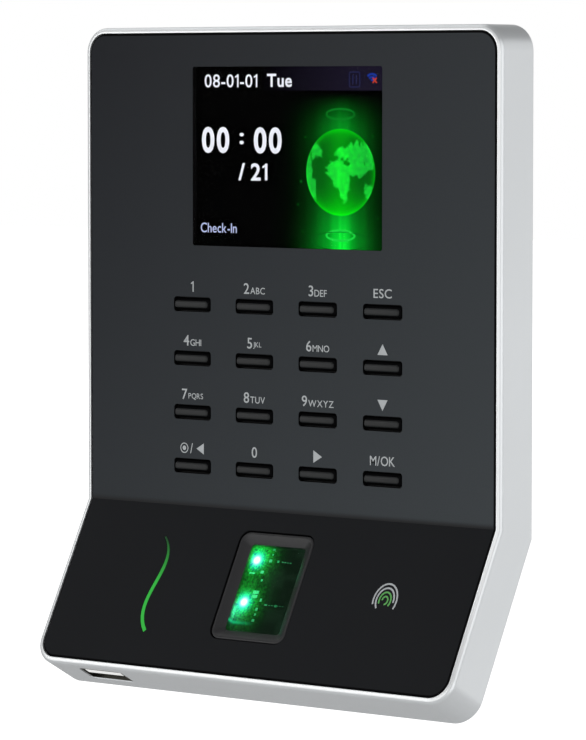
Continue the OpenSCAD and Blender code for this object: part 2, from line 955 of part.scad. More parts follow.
// Barrel socket that opens downwards through the floor of the hump
module dc_jack() {
    floor_in = hump_low + cover_t;
    color("#141416") place() translate([jack_x, jack_y, 0]) {
        difference() {
            union() {
                translate([-jack_w / 2, -jack_d / 2, floor_in]) cube([jack_w, jack_d, jack_top - floor_in]);
                translate([0, 0, hump_low]) cylinder(r = jack_nose_r, h = cover_t + EPS);
            }
            translate([0, 0, hump_low - 1]) cylinder(r = jack_barrel_r, h = jack_depth + 1);
            translate([0, 0, hump_low]) cylinder(r = jack_pin_r + 0.45, h = jack_depth + jack_root);
        }
    }
}

module dc_pin() {
    color("#c9b36a") place() translate([jack_x, jack_y, 0]) {
        translate([0, 0, hump_low + jack_tip]) cylinder(r = jack_pin_r, h = jack_depth - jack_tip);
        translate([0, 0, hump_low + jack_depth]) cylinder(r = jack_pin_r + 0.4, h = jack_root);
    }
}

module power_lead() {
    top = board_back + 0.9;
    color("#b01818") place() {
        for (dx = [-1.6, 1.6]) {
            x = jack_x + dx;
            wire([[x, 6, jack_top + 0.3], [x, 8.6, jack_top + 7], [x, top + 0.6, -3], [x, top, 5.9]], 0.6);
        }
    }
}

// ---------------------------------------------------------------- drawing

wall_plate();
front_housing();
rear_cover();
rear_cover_screws();
upper_panel();
lower_panel();
display_window();
display_gasket();
lcd_panel();
lcd_backlight();
lcd_can();
lcd_ribbon();
for (row = [0 : 3], col = [0 : 3]) {
    key(row, col);
}
keypad_mat();
contact_pads();
main_board();
processor();
memory_chips();
board_components();
board_connectors();
board_screws();
wifi_module();
antenna();
antenna_lead();
coin_cell();
coin_cell_holder();
speaker();
speaker_lead();
fingerprint_bezel();
fingerprint_glass();
fingerprint_holder();
fingerprint_leds();
fingerprint_led_board();
fingerprint_camera();
fingerprint_board();
fingerprint_ribbon();
indicator_light_guide();
indicator_leds();
io_board();
io_ribbon();
usb_shell();
usb_tongue();
dc_jack();
dc_pin();
power_lead();
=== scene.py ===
"""The looks of the fingerprint scanner terminal: camera, light, materials and the finely made pieces."""

from math import cos, exp, hypot, pi, radians, sin, tan

import bmesh
import bpy
from mathutils import Matrix, Vector, noise


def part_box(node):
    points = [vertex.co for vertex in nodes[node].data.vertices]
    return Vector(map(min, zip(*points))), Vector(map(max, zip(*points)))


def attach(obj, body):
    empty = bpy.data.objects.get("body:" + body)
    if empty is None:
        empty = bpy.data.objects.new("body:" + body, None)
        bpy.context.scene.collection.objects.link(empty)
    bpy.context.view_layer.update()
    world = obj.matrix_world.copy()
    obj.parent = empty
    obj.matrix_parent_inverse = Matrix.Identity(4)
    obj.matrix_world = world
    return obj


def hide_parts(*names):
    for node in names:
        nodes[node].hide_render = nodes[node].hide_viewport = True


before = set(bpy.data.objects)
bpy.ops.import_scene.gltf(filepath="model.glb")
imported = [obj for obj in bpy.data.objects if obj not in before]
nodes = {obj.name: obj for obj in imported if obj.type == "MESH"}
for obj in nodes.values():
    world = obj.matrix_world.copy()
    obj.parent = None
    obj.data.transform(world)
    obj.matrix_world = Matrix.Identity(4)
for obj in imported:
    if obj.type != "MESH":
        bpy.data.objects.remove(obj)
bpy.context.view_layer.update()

MM = 0.001
WALL = "wall_mount"
TERMINAL = "terminal"

# ---- places, from the frame

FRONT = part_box("upper_panel")[0].y
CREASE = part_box("lower_panel")[1].z
HALF_W, BACK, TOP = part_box("front_housing")[1]
TILT = radians(28.4)
LOWER_LEN = 43.8 * MM
BODY_T = BACK - FRONT
CORNER_R = 6.2 * MM
LIP = 1.35 * MM
PANEL_T = 1.4 * MM

# Frames with x to the right, y as depth behind the front and z up the front, from the crease
upright = Matrix.Translation((0, FRONT, CREASE))
sloping = upright @ Matrix.Rotation(-TILT, 4, "X")

SCREEN_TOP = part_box("display_window")[1].z
KEYS = "1 2 3 esc 4 5 6 up 7 8 9 down left 0 right ok".split()
SCANNER_S = 19.3 * MM


def key_place(node):
    """Centre of a key, in the upright frame."""
    low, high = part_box(node)
    return (low.x + high.x) / 2, (low.z + high.z) / 2 - CREASE


# ---- materials


def linear(code):
    """The linear colour of a hex code."""
    parts = [int(code[i:i + 2], 16) / 255 for i in (1, 3, 5)]
    return [p / 12.92 if p <= 0.04045 else ((p + 0.055) / 1.055) ** 2.4 for p in parts] + [1.0]


BLACK = (0, 0, 0, 1)


class Look:
    """A node material. node adds a shader node, and math a Math node, fed by values or sockets."""

    def __init__(self, name, **sockets):
        self.material = bpy.data.materials.new(name)
        self.material.use_nodes = True
        self.tree = self.material.node_tree
        self.shader = self.tree.nodes["Principled BSDF"]
        self.place = self.node("TexCoord").outputs["Object"]
        self.set(**sockets)

    def set(self, **sockets):
        for key, value in sockets.items():
            self.feed(self.shader.inputs[key.replace("_", " ")], value)

    def feed(self, socket, value):
        if isinstance(value, bpy.types.NodeSocket):
            self.tree.links.new(value, socket)
        else:
            socket.default_value = value

    def node(self, kind, inputs=(), **settings):
        made = self.tree.nodes.new("ShaderNode" + kind)
        for key, value in settings.items():
            setattr(made, key, value)
        for key, value in dict(inputs).items():
            self.feed(made.inputs[key], value)
        return made

    def math(self, operation, *values):
        return self.node("Math", dict(enumerate(values)), operation=operation).outputs[0]

    def times(self, *values):
        return self.math("MULTIPLY", *values)

    def plus(self, *values):
        return self.math("ADD", *values)

    def sum_of(self, *terms):
        """The sum of (socket, factor) pairs."""
        total = 0.0
        for socket, factor in terms:
            total = self.math("MULTIPLY_ADD", socket, factor, total)
        return total

    def vector(self, x, y, z):
        return self.node("CombineXYZ", {0: x, 1: y, 2: z}).outputs[0]

    def noise(self, scale, detail=2.0, stretch=(1, 1, 1)):
        spread = self.node("Mapping", {"Vector": self.place, "Scale": stretch})
        inputs = {"Vector": spread.outputs[0], "Scale": scale, "Detail": detail}
        return self.node("TexNoise", inputs).outputs["Fac"]

    def between(self, factor, low, high):
        """factor stretched from low to high, where noise lies mostly between 0.3 and 0.7."""
        return self.ramp(factor, 0.3, 0.7, low, high)

    def mix(self, factor, first, second, blend="MIX"):
        inputs = {"Factor": factor, 6: first, 7: second}
        return self.node("Mix", inputs, data_type="RGBA", blend_type=blend).outputs[2]

    def bump(self, height, distance, strength=1.0):
        made = self.node("Bump", {"Height": height, "Distance": distance, "Strength": strength})
        self.set(Normal=made.outputs[0])

    def local(self, matrix):
        """X, Y and Z in millimetres in the frame that matrix places."""
        back = matrix.inverted()
        spots = {"Vector": self.place, "Location": back.to_translation(), "Rotation": back.to_euler()}
        moved = self.node("Mapping", spots).outputs[0]
        scaled = self.node("VectorMath", {0: moved, "Scale": 1 / MM}, operation="SCALE")
        return self.node("SeparateXYZ", {"Vector": scaled.outputs[0]}).outputs

    def ramp(self, value, start, end, low=0.0, high=1.0, smooth=False):
        kind = "SMOOTHSTEP" if smooth else "LINEAR"
        inputs = {"Value": value, 1: start, 2: end, 3: low, 4: high}
        return self.node("MapRange", inputs, interpolation_type=kind).outputs[0]

    def fall(self, value, width):
        """exp(-value / width)."""
        return self.math("EXPONENT", self.math("DIVIDE", value, -width))

    def bell(self, value, width):
        """exp(-(value / width) ** 2)."""
        square = self.math("POWER", self.math("DIVIDE", value, width), 2.0)
        return self.math("EXPONENT", self.times(square, -1.0))


def surface(name, colour, roughness, vary=0.06, cloud=60, grain=2500, height=0.004, rough_vary=0.05,
            stretch=(1, 1, 1), second=None, **sockets):
    """A moulded, painted or metal surface: faint clouds of tone, and a fine grain in gloss and height."""
    look = Look(name, **sockets)
    base = linear(colour)
    dark = [c * (1 - vary) for c in base[:3]] + [1]
    light = linear(second) if second else [min(1, c * (1 + vary)) for c in base[:3]] + [1]
    fine = look.noise(grain, 3, stretch)
    tone = look.sum_of((look.noise(cloud, 3), 0.6), (fine, 0.4))
    look.set(Base_Color=look.mix(look.between(tone, 0, 1), dark, light))
    look.set(Roughness=look.between(fine, roughness - rough_vary, roughness + rough_vary))
    look.bump(fine, height * MM)
    return look


silver = surface("silver_paint", "#dcdfe1", 0.38, vary=0.03, cloud=25, grain=5200, height=0.002, Metallic=0.6)
# A paler copy of the silver paint for the front lip: a painted highlight along the rounded edge.
lip_highlight = surface("lip_highlight", "#f8fafb", 0.4, vary=0.015, cloud=25, grain=5200, height=0.001,
                     Metallic=0.5)
raw_plastic = surface("raw_plastic", "#0d0d0e", 0.6, vary=0.15, grain=2200, height=0.006,
                      Specular_IOR_Level=0.2)
# A dark colour with no reflection for panel edges, slot walls and key sides: painted shade.
painted_edge_shade = surface("painted_edge_shade", "#101011", 0.6, vary=0.2, grain=3000, height=0.002,
                     Specular_IOR_Level=0.0)

# Tones of the painted sheen across the upper panel, and of the painted shade at the crease.
CHARCOAL_DARK = (0.0028, 0.0042, 0.0076, 1)
CHARCOAL_SHEEN = (0.0385, 0.0452, 0.0500, 1)
CREASE_SHADE_TONE = (0.0105, 0.0108, 0.0118, 1)
CREASE_SHADE_WIDTH = 1.5


def charcoal_look():
    """Charcoal with a painted sheen that grows towards the lower right, and painted shade that turns it black
    where it meets the lower panel.
    """
    look = surface("charcoal_acrylic", "#25282a", 0.36, vary=0.05, cloud=30, grain=3600, height=0.0012,
                   Specular_IOR_Level=0.12)
    at = look.local(upright)
    # Painted sheen: lighter towards the lower right.
    across = look.ramp(at["X"], -60, 60, 0, 0.5)
    down = look.ramp(at["Z"], 112, 4, 0, 0.5)
    tone = look.mix(look.plus(across, down), CHARCOAL_DARK, CHARCOAL_SHEEN)
    grain = look.between(look.noise(3000, 3), 0.94, 1.06)
    tone = look.mix(1.0, tone, grain, "MULTIPLY")
    # Painted shade: the panel darkens to black towards the crease.
    look.set(Base_Color=look.mix(look.ramp(at["Z"], 0.0, CREASE_SHADE_WIDTH, smooth=True), CREASE_SHADE_TONE, tone))
    return look


charcoal = charcoal_look()
black = surface("black_acrylic", "#1d1e20", 0.38, vary=0.05, cloud=30, grain=3600, height=0.0012,
                Specular_IOR_Level=0.06)
cover_plastic = surface("cover_plastic", "#2a2c2e", 0.58, vary=0.08, grain=1700, height=0.012)
key_plastic = surface("key_plastic", "#1a1c1d", 0.42, vary=0.08, grain=3200, height=0.002,
                      Specular_IOR_Level=0.3)
bezel_plastic = surface("bezel_plastic", "#242426", 0.46, vary=0.08, grain=2800, height=0.003)
zinc = surface("zinc_steel", "#9da1a4", 0.36, vary=0.1, cloud=35, grain=900, height=0.0015,
               stretch=(14, 1, 0.5), rough_vary=0.1, Metallic=1.0)
screw_steel = surface("screw_steel", "#b4b7ba", 0.3, vary=0.08, grain=2400, height=0.001, Metallic=1.0)
shell_steel = surface("shell_steel", "#c6c9cb", 0.26, vary=0.06, grain=1500, height=0.001, stretch=(1, 1, 8),
                      Metallic=1.0)
foam = surface("black_foam", "#141414", 0.95, vary=0.3, grain=2600, height=0.05)
lcd_glass = surface("lcd_glass", "#07080a", 0.12, vary=0.2, height=0.0, Coat_Weight=0.6)
white_plastic = surface("white_plastic", "#dcdad2", 0.5, vary=0.04, grain=2400, height=0.002)
amber_film = surface("amber_film", "#b06a22", 0.4, vary=0.15, cloud=200, grain=1800, second="#d08b3a")
silicone = surface("grey_silicone", "#7d8184", 0.72, vary=0.08, grain=3000, height=0.004)
gold = surface("gold_plate", "#d9a441", 0.24, vary=0.08, grain=2600, height=0.001, Metallic=1.0)
chip = surface("chip_black", "#1a1b1d", 0.5, vary=0.12, grain=2400, height=0.003)
ceramic = surface("ceramic_parts", "#8f8271", 0.5, vary=0.3, cloud=300, grain=2400, second="#c9bfae")
lead_black = surface("lead_black", "#161617", 0.42, vary=0.1, grain=2000)
lead_red = surface("lead_red", "#a01c1a", 0.4, vary=0.1, grain=2000)
dark_nickel = surface("dark_nickel", "#4a4944", 0.3, vary=0.1, grain=1500, height=0.001, stretch=(1, 1, 8),
                      Metallic=1.0)
# A faint glow on the USB tongue: painted light that brightens it inside the socket's shaded mouth.
tongue_glow_white = surface("tongue_glow_white", "#f1f1ee", 0.35, vary=0.03, grain=2400, height=0.002,
                    Emission_Color=(1, 1, 1, 1), Emission_Strength=0.3)
white_film = surface("white_film", "#d8dbdd", 0.45, vary=0.05, grain=900, stretch=(6, 1, 1))


def board_look(name):
    """Green solder mask over copper tracks, which show as paler lines, and gold pads."""
    look = Look(name, Roughness=0.35)
    turned = look.node("Mapping", {"Vector": look.place, "Rotation": (radians(90), 0, 0)})
    bricks = {"Vector": turned.outputs[0], "Scale": 260.0, "Mortar Size": 0.06, "Brick Width": 0.9}
    lines = look.node("TexBrick", bricks, offset=0.37)
    mask = look.mix(look.between(look.noise(140, 3), 0, 1), linear("#0f4a26"), linear("#17693a"))
    look.set(Base_Color=look.mix(lines.outputs["Fac"], mask, linear("#2b8a52")))
    look.bump(lines.outputs["Fac"], 0.02 * MM, 0.6)
    return look


board = board_look("circuit_board")


def lit_look(name, roughness, strength=1.0):
    """Black, with nothing but its own light."""
    return Look(name, Base_Color=BLACK, Roughness=roughness, Specular_IOR_Level=0.0,
                Emission_Strength=strength)


def glow_look(name, colour, strength=1.0):
    """A lit thing whose brightness drifts a little."""
    look = lit_look(name, 0.5, strength)
    base = linear(colour)
    dim = [c * 0.88 for c in base[:3]] + [1]
    look.set(Emission_Color=look.mix(look.between(look.noise(400), 0, 1), dim, base))
    return look


def ink_look(name, colour):
    """Screen-printed ink, a little uneven."""
    return surface(name, colour, 0.55, vary=0.05, cloud=500, grain=4000, height=0.001)


print_ink = ink_look("print_ink", "#abafb1")
print_green = ink_look("print_green", "#57a550")
screen_white = glow_look("screen_white", "#f4f6ff")
screen_blue_white = glow_look("screen_blue_white", "#b9c2ea")
screen_navy = glow_look("screen_navy", "#23264e")
screen_blue = glow_look("screen_blue", "#1c3596")
screen_red = glow_look("screen_red", "#c8402c")
screen_green = glow_look("screen_green", "#1fe046", 0.95)
screen_dim_green = glow_look("screen_dim_green", "#0f9a2a", 0.7)
screen_faint_green = glow_look("screen_faint_green", "#0b6e1e", 0.7)


def glass_look(name, tint, index):
    """Clear, coated against reflections: a low index, and no reflection where it's looked at straight."""
    look = Look(name, Base_Color=linear(tint), IOR=index, Transmission_Weight=1.0, Specular_Tint=BLACK)
    look.set(Roughness=look.between(look.noise(300, 3), 0.0, 0.012))
    return look


window_glass = glass_look("window_glass", "#ffffff", 1.0)
window_glass.set(Coat_Weight=0.03, Coat_Roughness=0.12, Coat_IOR=1.3)
scanner_glass = glass_look("scanner_glass", "#f2fff6", 1.16)


def light_guide_look():
    """Green light that fades out towards the top of the curve."""
    look = Look("green_lens", Base_Color=linear("#0b3d14"), Roughness=0.35, Emission_Strength=0.85)
    low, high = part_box("indicator_light_guide")
    height = look.node("SeparateXYZ", {"Vector": look.place}).outputs["Z"]
    lit_share = look.ramp(look.ramp(height, high.z, low.z), 0.03, 0.42)
    look.set(Emission_Color=look.mix(lit_share, linear("#0e2f18"), linear("#2fb43d")))
    return look


green_lens = light_guide_look()

# ---- mesh helpers


def put(name, data):
    """A new object in the scene."""
    made = bpy.data.objects.new(name, data)
    bpy.context.scene.collection.objects.link(made)
    return made


def make_object(name, bm, matrix=None, smooth=30):
    """A new object from a bmesh, in the row frame. Edges that turn by more than smooth degrees are sharp."""
    bmesh.ops.recalc_face_normals(bm, faces=bm.faces)
    mesh = bpy.data.meshes.new(name)
    bm.to_mesh(mesh)
    bm.free()
    if matrix is not None:
        mesh.transform(matrix)
    mesh.shade_smooth()
    mesh.set_sharp_from_angle(angle=radians(smooth))
    return put(name, mesh)


def weigh_normals(obj):
    """Flat faces stay flat beside round edges."""
    modifier = obj.modifiers.new("flat_faces", "WEIGHTED_NORMAL")
    modifier.keep_sharp = True


def dress(obj, body, look, stands_for=(), also=()):
    """Gives a piece its look and body, and hides the CAD nodes it stands for.

    also holds more looks, each with a test that picks its faces.
    """
    obj.data.materials.clear()
    obj.data.materials.append(look.material)
    for index, (more, where) in enumerate(also, 1):
        obj.data.materials.append(more.material)
        for face in obj.data.polygons:
            if where(face):
                face.material_index = index
    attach(obj, body)
    if stands_for:
        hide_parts(*stands_for)


def rounded(width, height, radius, steps=6):
    """Points round a rectangle with round corners, in x and z."""
    points = []
    for turn, (sx, sz) in enumerate(((1, 1), (-1, 1), (-1, -1), (1, -1))):
        for i in range(steps + 1):
            a = (turn + i / steps) * pi / 2
            x = sx * (width / 2 - radius) + radius * cos(a)
            points.append((x, sz * (height / 2 - radius) + radius * sin(a)))
    return points


def weave(bm, rows, loop=False):
    """Adds faces between closed rows of corners, and with loop between the last row and the first."""
    for one, two in zip(rows, rows[1:] + (rows[:1] if loop else [])):
        for i in range(len(one)):
            j = (i + 1) % len(one)
            bm.faces.new((one[i], one[j], two[j], two[i]))


def skin(rings, loop=False):
    """A bmesh over rings of (points, depth), with capped ends, or with loop closed on itself."""
    bm = bmesh.new()
    rows = [[bm.verts.new((x, depth, z)) for x, z in points] for points, depth in rings]
    weave(bm, rows, loop)
    if not loop:
        bm.faces.new(rows[0])
        bm.faces.new(rows[-1])
    return bm


def loft(name, rings, matrix, loop=False, smooth=30):
    return make_object(name, skin(rings, loop), matrix, smooth)


LEAST_RADIUS = 0.05 * MM


def rounded_edge(width, height, radius, start, edge, steps=3):
    """Rings from a flat front at depth start, over a round edge of radius edge, growing to full size."""
    rings = []
    for i in range(steps + 1):
        a = i / steps * pi / 2
        inset = edge * (1 - sin(a))
        points = rounded(width - 2 * inset, height - 2 * inset, max(radius - inset, LEAST_RADIUS))
        rings.append((points, start + edge * (1 - cos(a))))
    return rings


def block(bm, low, high, edge=0.0):
    """Adds a block between two corners, with its edges bevelled."""
    low, high = Vector(low), Vector(high)
    made = bmesh.ops.create_cube(bm, size=1)["verts"]
    size, middle = high - low, (high + low) / 2
    for v in made:
        v.co = Vector(c * s + m for c, s, m in zip(v.co, size, middle))
    if edge:
        edges = {e for v in made for e in v.link_edges}
        bmesh.ops.bevel(bm, geom=list(edges), offset=edge, segments=2, profile=0.5, affect="EDGES")


def join(target, source, offset=(0, 0, 0)):
    """Moves source's faces into target, shifted."""
    bmesh.ops.translate(source, verts=source.verts, vec=Vector(offset))
    mesh = bpy.data.meshes.new("part")
    source.to_mesh(mesh)
    source.free()
    target.from_mesh(mesh)
    bpy.data.meshes.remove(mesh)


def polygon(points):
    bm = bmesh.new()
    bm.faces.new([bm.verts.new((x, 0, z)) for x, z in points])
    return bm


def clean_copy(node):
    """A bmesh of a CAD node with its doubled corners joined and its flat faces whole."""
    bm = bmesh.new()
    bm.from_mesh(nodes[node].data)
    bmesh.ops.remove_doubles(bm, verts=bm.verts, dist=0.001 * MM)
    bmesh.ops.dissolve_limit(bm, angle_limit=radians(0.6), verts=bm.verts, edges=bm.edges)
    return bm


def soften(bm, width, chosen, segments=3):
    """Rounds the edges that chosen picks."""
    edges = [e for e in bm.edges if len(e.link_faces) == 2 and chosen(e)]
    if edges:
        bmesh.ops.bevel(bm, geom=edges, offset=width, segments=segments, profile=0.5, affect="EDGES",
                        clamp_overlap=True)


def sharp(edge, least=50):
    return edge.calc_face_angle(0) > radians(least)


def all_at(verts, test):
    return all(test(v.co) for v in verts)


# ---- housing and panels


def section_of(p):
    """(x, height along the front, depth, length) of a point, in whichever section of the body holds it."""
    up = upright.inverted() @ p
    down = sloping.inverted() @ p
    if up.y >= down.y:
        return up.x, up.z, up.y, TOP - CREASE
    return down.x, -down.z, down.y, LOWER_LEN


def depth_of(p):
    return section_of(p)[2]


def inset_of(p):
    """How far a point lies inside the body's outline."""
    x, along, _, length = section_of(p)
    side, end = HALF_W - abs(x), length - along
    if side < CORNER_R and end < CORNER_R:
        return CORNER_R - hypot(CORNER_R - side, CORNER_R - end)
    return min(side, end)


NEAR = 0.02 * MM
WALL_T = 1.8 * MM
LIP_R = 1.28 * MM
REAR_R = 0.4 * MM
CORNER_STEPS = 12
SHELL_SMOOTH = 26
USB_N = 5.6 * MM


def corner(frame_of, sign_x, sign_z, length, angle):
    """Gives the point of a round corner for an inset and a depth."""
    def at(inset, depth):
        r = CORNER_R - inset
        x = sign_x * (HALF_W - CORNER_R + r * cos(angle))
        z = sign_z * (length - CORNER_R + r * sin(angle))
        return frame_of @ Vector((x, depth, z))
    return at


def bend(sign_x):
    """Gives the point of the side where both sections meet."""
    return lambda inset, depth: upright @ Vector((sign_x * (HALF_W - inset), depth, -depth * tan(TILT / 2)))


def stations():
    """Places round the body's outline, from the top round by the right."""
    rise = [i / CORNER_STEPS * pi / 2 for i in range(CORNER_STEPS + 1)]
    fall = rise[::-1]
    right = [corner(upright, 1, 1, TOP - CREASE, a) for a in fall] + [bend(1)]
    right += [corner(sloping, 1, -1, LOWER_LEN, a) for a in rise]
    left = [corner(sloping, -1, -1, LOWER_LEN, a) for a in fall] + [bend(-1)]
    left += [corner(upright, -1, 1, TOP - CREASE, a) for a in rise]
    return right + left


def arc(centre, radius, start, end, steps):
    """Points (inset, depth) on an arc, angles in quarter turns."""
    turns = [(start + (end - start) * i / steps) * pi / 2 for i in range(steps + 1)]
    return [(centre[0] + radius * cos(a), centre[1] + radius * sin(a)) for a in turns]


def frame_profile():
    """The section of the silver frame, as insets and depths: groove, lip, side, rear edge and inner wall."""
    hidden = PANEL_T + 0.05 * MM
    inner_r = LIP - LIP_R
    points = [(LIP, hidden)]
    points += arc((LIP - inner_r, inner_r), inner_r, 0, -1, 3)
    points += arc((LIP_R, LIP_R), LIP_R, -1, -2, 10)[1:]
    points += arc((REAR_R, BODY_T - REAR_R), REAR_R, 2, 1, 4)
    points += [(WALL_T, BODY_T), (WALL_T, hidden)]
    return points


def usb_cutter():
    """A plug for the USB opening, which flares at the outer face."""
    low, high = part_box("usb_shell")
    middle_x = (low.x + high.x) / 2
    width, height, flare = 13.35 * MM, 5.95 * MM, 0.25 * MM
    mouth = rounded(width + 3 * flare, height + 3 * flare, 1.3 * MM)
    throat = rounded(width, height, 0.8 * MM)
    rings = [(mouth, -0.4 * MM), (throat, 0.35 * MM), (throat, 3.2 * MM)]
    place = sloping @ Matrix.Translation((middle_x, USB_N, -LOWER_LEN)) @ Matrix.Rotation(radians(90), 4, "X")
    return loft("cutter", rings, place)


def cut(obj, cutter):
    modifier = obj.modifiers.new("cut", "BOOLEAN")
    modifier.object = cutter
    modifier.operation = "DIFFERENCE"
    modifier.solver = "EXACT"
    bpy.context.view_layer.update()
    mesh = bpy.data.meshes.new_from_object(obj.evaluated_get(bpy.context.evaluated_depsgraph_get()))
    obj.modifiers.clear()
    obj.data = mesh
    bpy.data.objects.remove(cutter)


def inner_parts(node):
    """The webs and posts inside the housing, without the walls that the frame stands for."""
    bm = clean_copy(node)
    limit = WALL_T + NEAR

    def at_rim(p):
        return depth_of(p) < PANEL_T - 0.2 * MM or depth_of(p) > BODY_T - NEAR

    walls = [f for f in bm.faces if all_at(f.verts, lambda p: inset_of(p) < limit)
             and (inset_of(f.calc_center_median()) < limit or all_at(f.verts, at_rim))]
    bmesh.ops.delete(bm, geom=walls, context="FACES")
    return bm


def make_housing():
    bm = bmesh.new()
    rows = [[bm.verts.new(at(inset, depth)) for inset, depth in frame_profile()] for at in stations()]
    weave(bm, rows, loop=True)
    shell = make_object("housing_shell", bm, smooth=SHELL_SMOOTH)
    cut(shell, usb_cutter())
    whole = bmesh.new()
    whole.from_mesh(shell.data)
    join(whole, inner_parts("front_housing"))
    whole.to_mesh(shell.data)
    whole.free()
    shell.data.shade_smooth()
    shell.data.set_sharp_from_angle(angle=radians(SHELL_SMOOTH))
    weigh_normals(shell)

    # The lip's faces take the painted highlight.
    def highlight_faces(face):
        return inset_of(face.center) > 0.55 * MM and depth_of(face.center) < 0.6 * MM

    def inside(face):
        return inset_of(face.center) > LIP + 0.1 * MM and depth_of(face.center) < BODY_T - 0.05 * MM

    looks = [(lip_highlight, highlight_faces), (raw_plastic, inside)]
    dress(shell, TERMINAL, silver, ["front_housing"], looks)


PANEL_RIM = 1.7 * MM
HOLE_EDGE, RIM_EDGE = 0.1 * MM, 0.35 * MM


def make_panel(name, node, look, place):
    """A panel with a rounded outer edge and softer edges round its holes. All but its front is painted black
    as shade.
    """
    def at_front(p):
        return depth_of(p) < 0.05 * MM

    def at_crease(p):
        return section_of(p)[1] < 0.05 * MM

    def at_edge(edge, test):
        return sharp(edge) and not all_at(edge.verts, at_crease) and all_at(edge.verts, test)

    bm = clean_copy(node)
    soften(bm, HOLE_EDGE, lambda e: at_edge(e, lambda p: at_front(p) and inset_of(p) > PANEL_RIM), 2)
    soften(bm, RIM_EDGE, lambda e: at_edge(e, lambda p: at_front(p) and inset_of(p) < PANEL_RIM), 4)
    panel = make_object(name, bm)
    weigh_normals(panel)
    out = -(place.to_3x3() @ Vector((0, 1, 0)))
    dress(panel, TERMINAL, look, [node], [(painted_edge_shade, lambda f: f.normal.dot(out) < 0.99)])


make_housing()
make_panel("upper_face", "upper_panel", charcoal, upright)
make_panel("lower_face", "lower_panel", black, sloping)

# ---- keys

# Width, height and corner radius
KEY_TOP = (10.3 * MM, 1.7 * MM, 0.6 * MM)
KEY_BASE = (10.9 * MM, 2.7 * MM, 0.55 * MM)
KEY_FLANGE = (13.4 * MM, 5.2 * MM, 0.4 * MM)
KEY_EDGE = 0.45 * MM
KEY_FACE = 0.35 * MM
KEY_PROUD = 0.7 * MM
KEY_NECK = 0.6 * MM
KEY_FLANGE_T = 0.8 * MM


def make_key(key):
    node = "key_" + key
    x, z = key_place(node)
    flange_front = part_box(node)[1].y - FRONT - KEY_FLANGE_T
    rings = rounded_edge(*KEY_TOP, -KEY_PROUD, KEY_EDGE, steps=4)
    base, flange = rounded(*KEY_BASE), rounded(*KEY_FLANGE)
    rings += [(base, KEY_NECK), (base, flange_front)]
    rings += [(flange, flange_front), (flange, flange_front + KEY_FLANGE_T)]
    cap = loft("cap_" + key, rings, upright @ Matrix.Translation((x, 0, z)), smooth=40)
    # The key's sides behind its top face are painted black as shade.
    dress(cap, "button_" + key, key_plastic, [node],
          [(painted_edge_shade, lambda f: f.center.y > FRONT - KEY_PROUD + KEY_FACE)])


for key_name in KEYS:
    make_key(key_name)

# ---- printed words and signs

INK_T = 0.012 * MM
GLYPH_GAP = 0.09


def glyph_mesh(letter, weight):
    """A bmesh of one flat letter in x and z, one unit to the font's size."""
    curve = bpy.data.curves.new("glyph", "FONT")
    curve.body = letter
    curve.offset = weight
    curve.resolution_u = 4
    text = put("glyph", curve)
    bpy.context.view_layer.update()
    mesh = bpy.data.meshes.new_from_object(text.evaluated_get(bpy.context.evaluated_depsgraph_get()))
    bpy.data.objects.remove(text)
    bpy.data.curves.remove(curve)
    bm = bmesh.new()
    bm.from_mesh(mesh)
    bpy.data.meshes.remove(mesh)
    bmesh.ops.transform(bm, matrix=Matrix.Rotation(radians(90), 4, "X"), verts=bm.verts)
    return bm


def one_glyph(weight):
    """A one with a flag."""
    h, w = 0.7, 0.04 + weight
    stem = [(0.2 - w, 0), (0.2 + w, 0), (0.2 + w, h), (0.2 - w * 0.4, h)]
    flag = [(0.16 - w, h * 0.9), (0.02, h * 0.83), (0.02, h * 0.72), (0.2 - w, h * 0.79)]
    return polygon(stem + flag)


def word_mesh(words, width=None, height=None, squeeze=1.0, weight=0.0):
    """A bmesh of flat letters in x and z, with its lower left corner at the origin, scaled to a size."""
    bm, cursor = bmesh.new(), 0.0
    for letter in words:
        glyph = one_glyph(weight) if letter == "1" else glyph_mesh(letter, weight)
        xs = [v.co.x for v in glyph.verts]
        join(bm, glyph, (cursor - min(xs), 0, 0))
        cursor += max(xs) - min(xs) + GLYPH_GAP
    zs = [v.co.z for v in bm.verts]
    length = cursor - GLYPH_GAP
    scale_z = height / (max(zs) - min(zs)) if height else width / length
    scale_x = width / length if width else scale_z * squeeze
    for v in bm.verts:
        v.co = Vector((v.co.x * scale_x, 0, (v.co.z - min(zs)) * scale_z))
    return bm, length * scale_x


def thicken(bm, thickness):
    """Turns flat faces in x and z into thin plates, towards the front."""
    made = bmesh.ops.extrude_face_region(bm, geom=bm.faces[:])
    for v in made["geom"]:
        if isinstance(v, bmesh.types.BMVert):
            v.co.y -= thickness


def print_words(name, bm, matrix, look):
    thicken(bm, INK_T)
    dress(make_object(name, bm, matrix), TERMINAL, look)


DIGIT_H = 2.6 * MM
LETTER_H = 1.62 * MM
LETTER_GAP = 0.35 * MM
LEGEND_RISE = 4.35 * MM


def print_above(node, bm, left=0.0, low=0.0):
    """Prints a sign over a key. Its origin lies left of the key's middle and under the line of legends."""
    x, z = key_place(node)
    place = Matrix.Translation((x - left, 0, z + LEGEND_RISE - low))
    print_words("print_" + node, bm, upright @ place, print_ink)


def digit_legend(digit, letters):
    """A digit and its small letters on one line, centred above a key."""
    bm, across = word_mesh(digit, height=DIGIT_H, squeeze=1.02, weight=0.006)
    if letters:
        small, more = word_mesh(letters, height=LETTER_H, weight=0.004)
        join(bm, small, (across + LETTER_GAP, 0, 0))
        across += LETTER_GAP + more
    print_above("key_" + digit, bm, across / 2, DIGIT_H / 2)


def word_legend(node, words, width, height):
    bm, across = word_mesh(words, width=width, height=height, weight=0.006)
    print_above(node, bm, across / 2, height / 2)


def arrow(size, height, turn):
    """A triangle pointing up, turned by quarter turns."""
    points = [(-size / 2, -height / 2), (size / 2, -height / 2), (0, height / 2)]
    a = turn * pi / 2
    return polygon([(x * cos(a) - z * sin(a), x * sin(a) + z * cos(a)) for x, z in points])


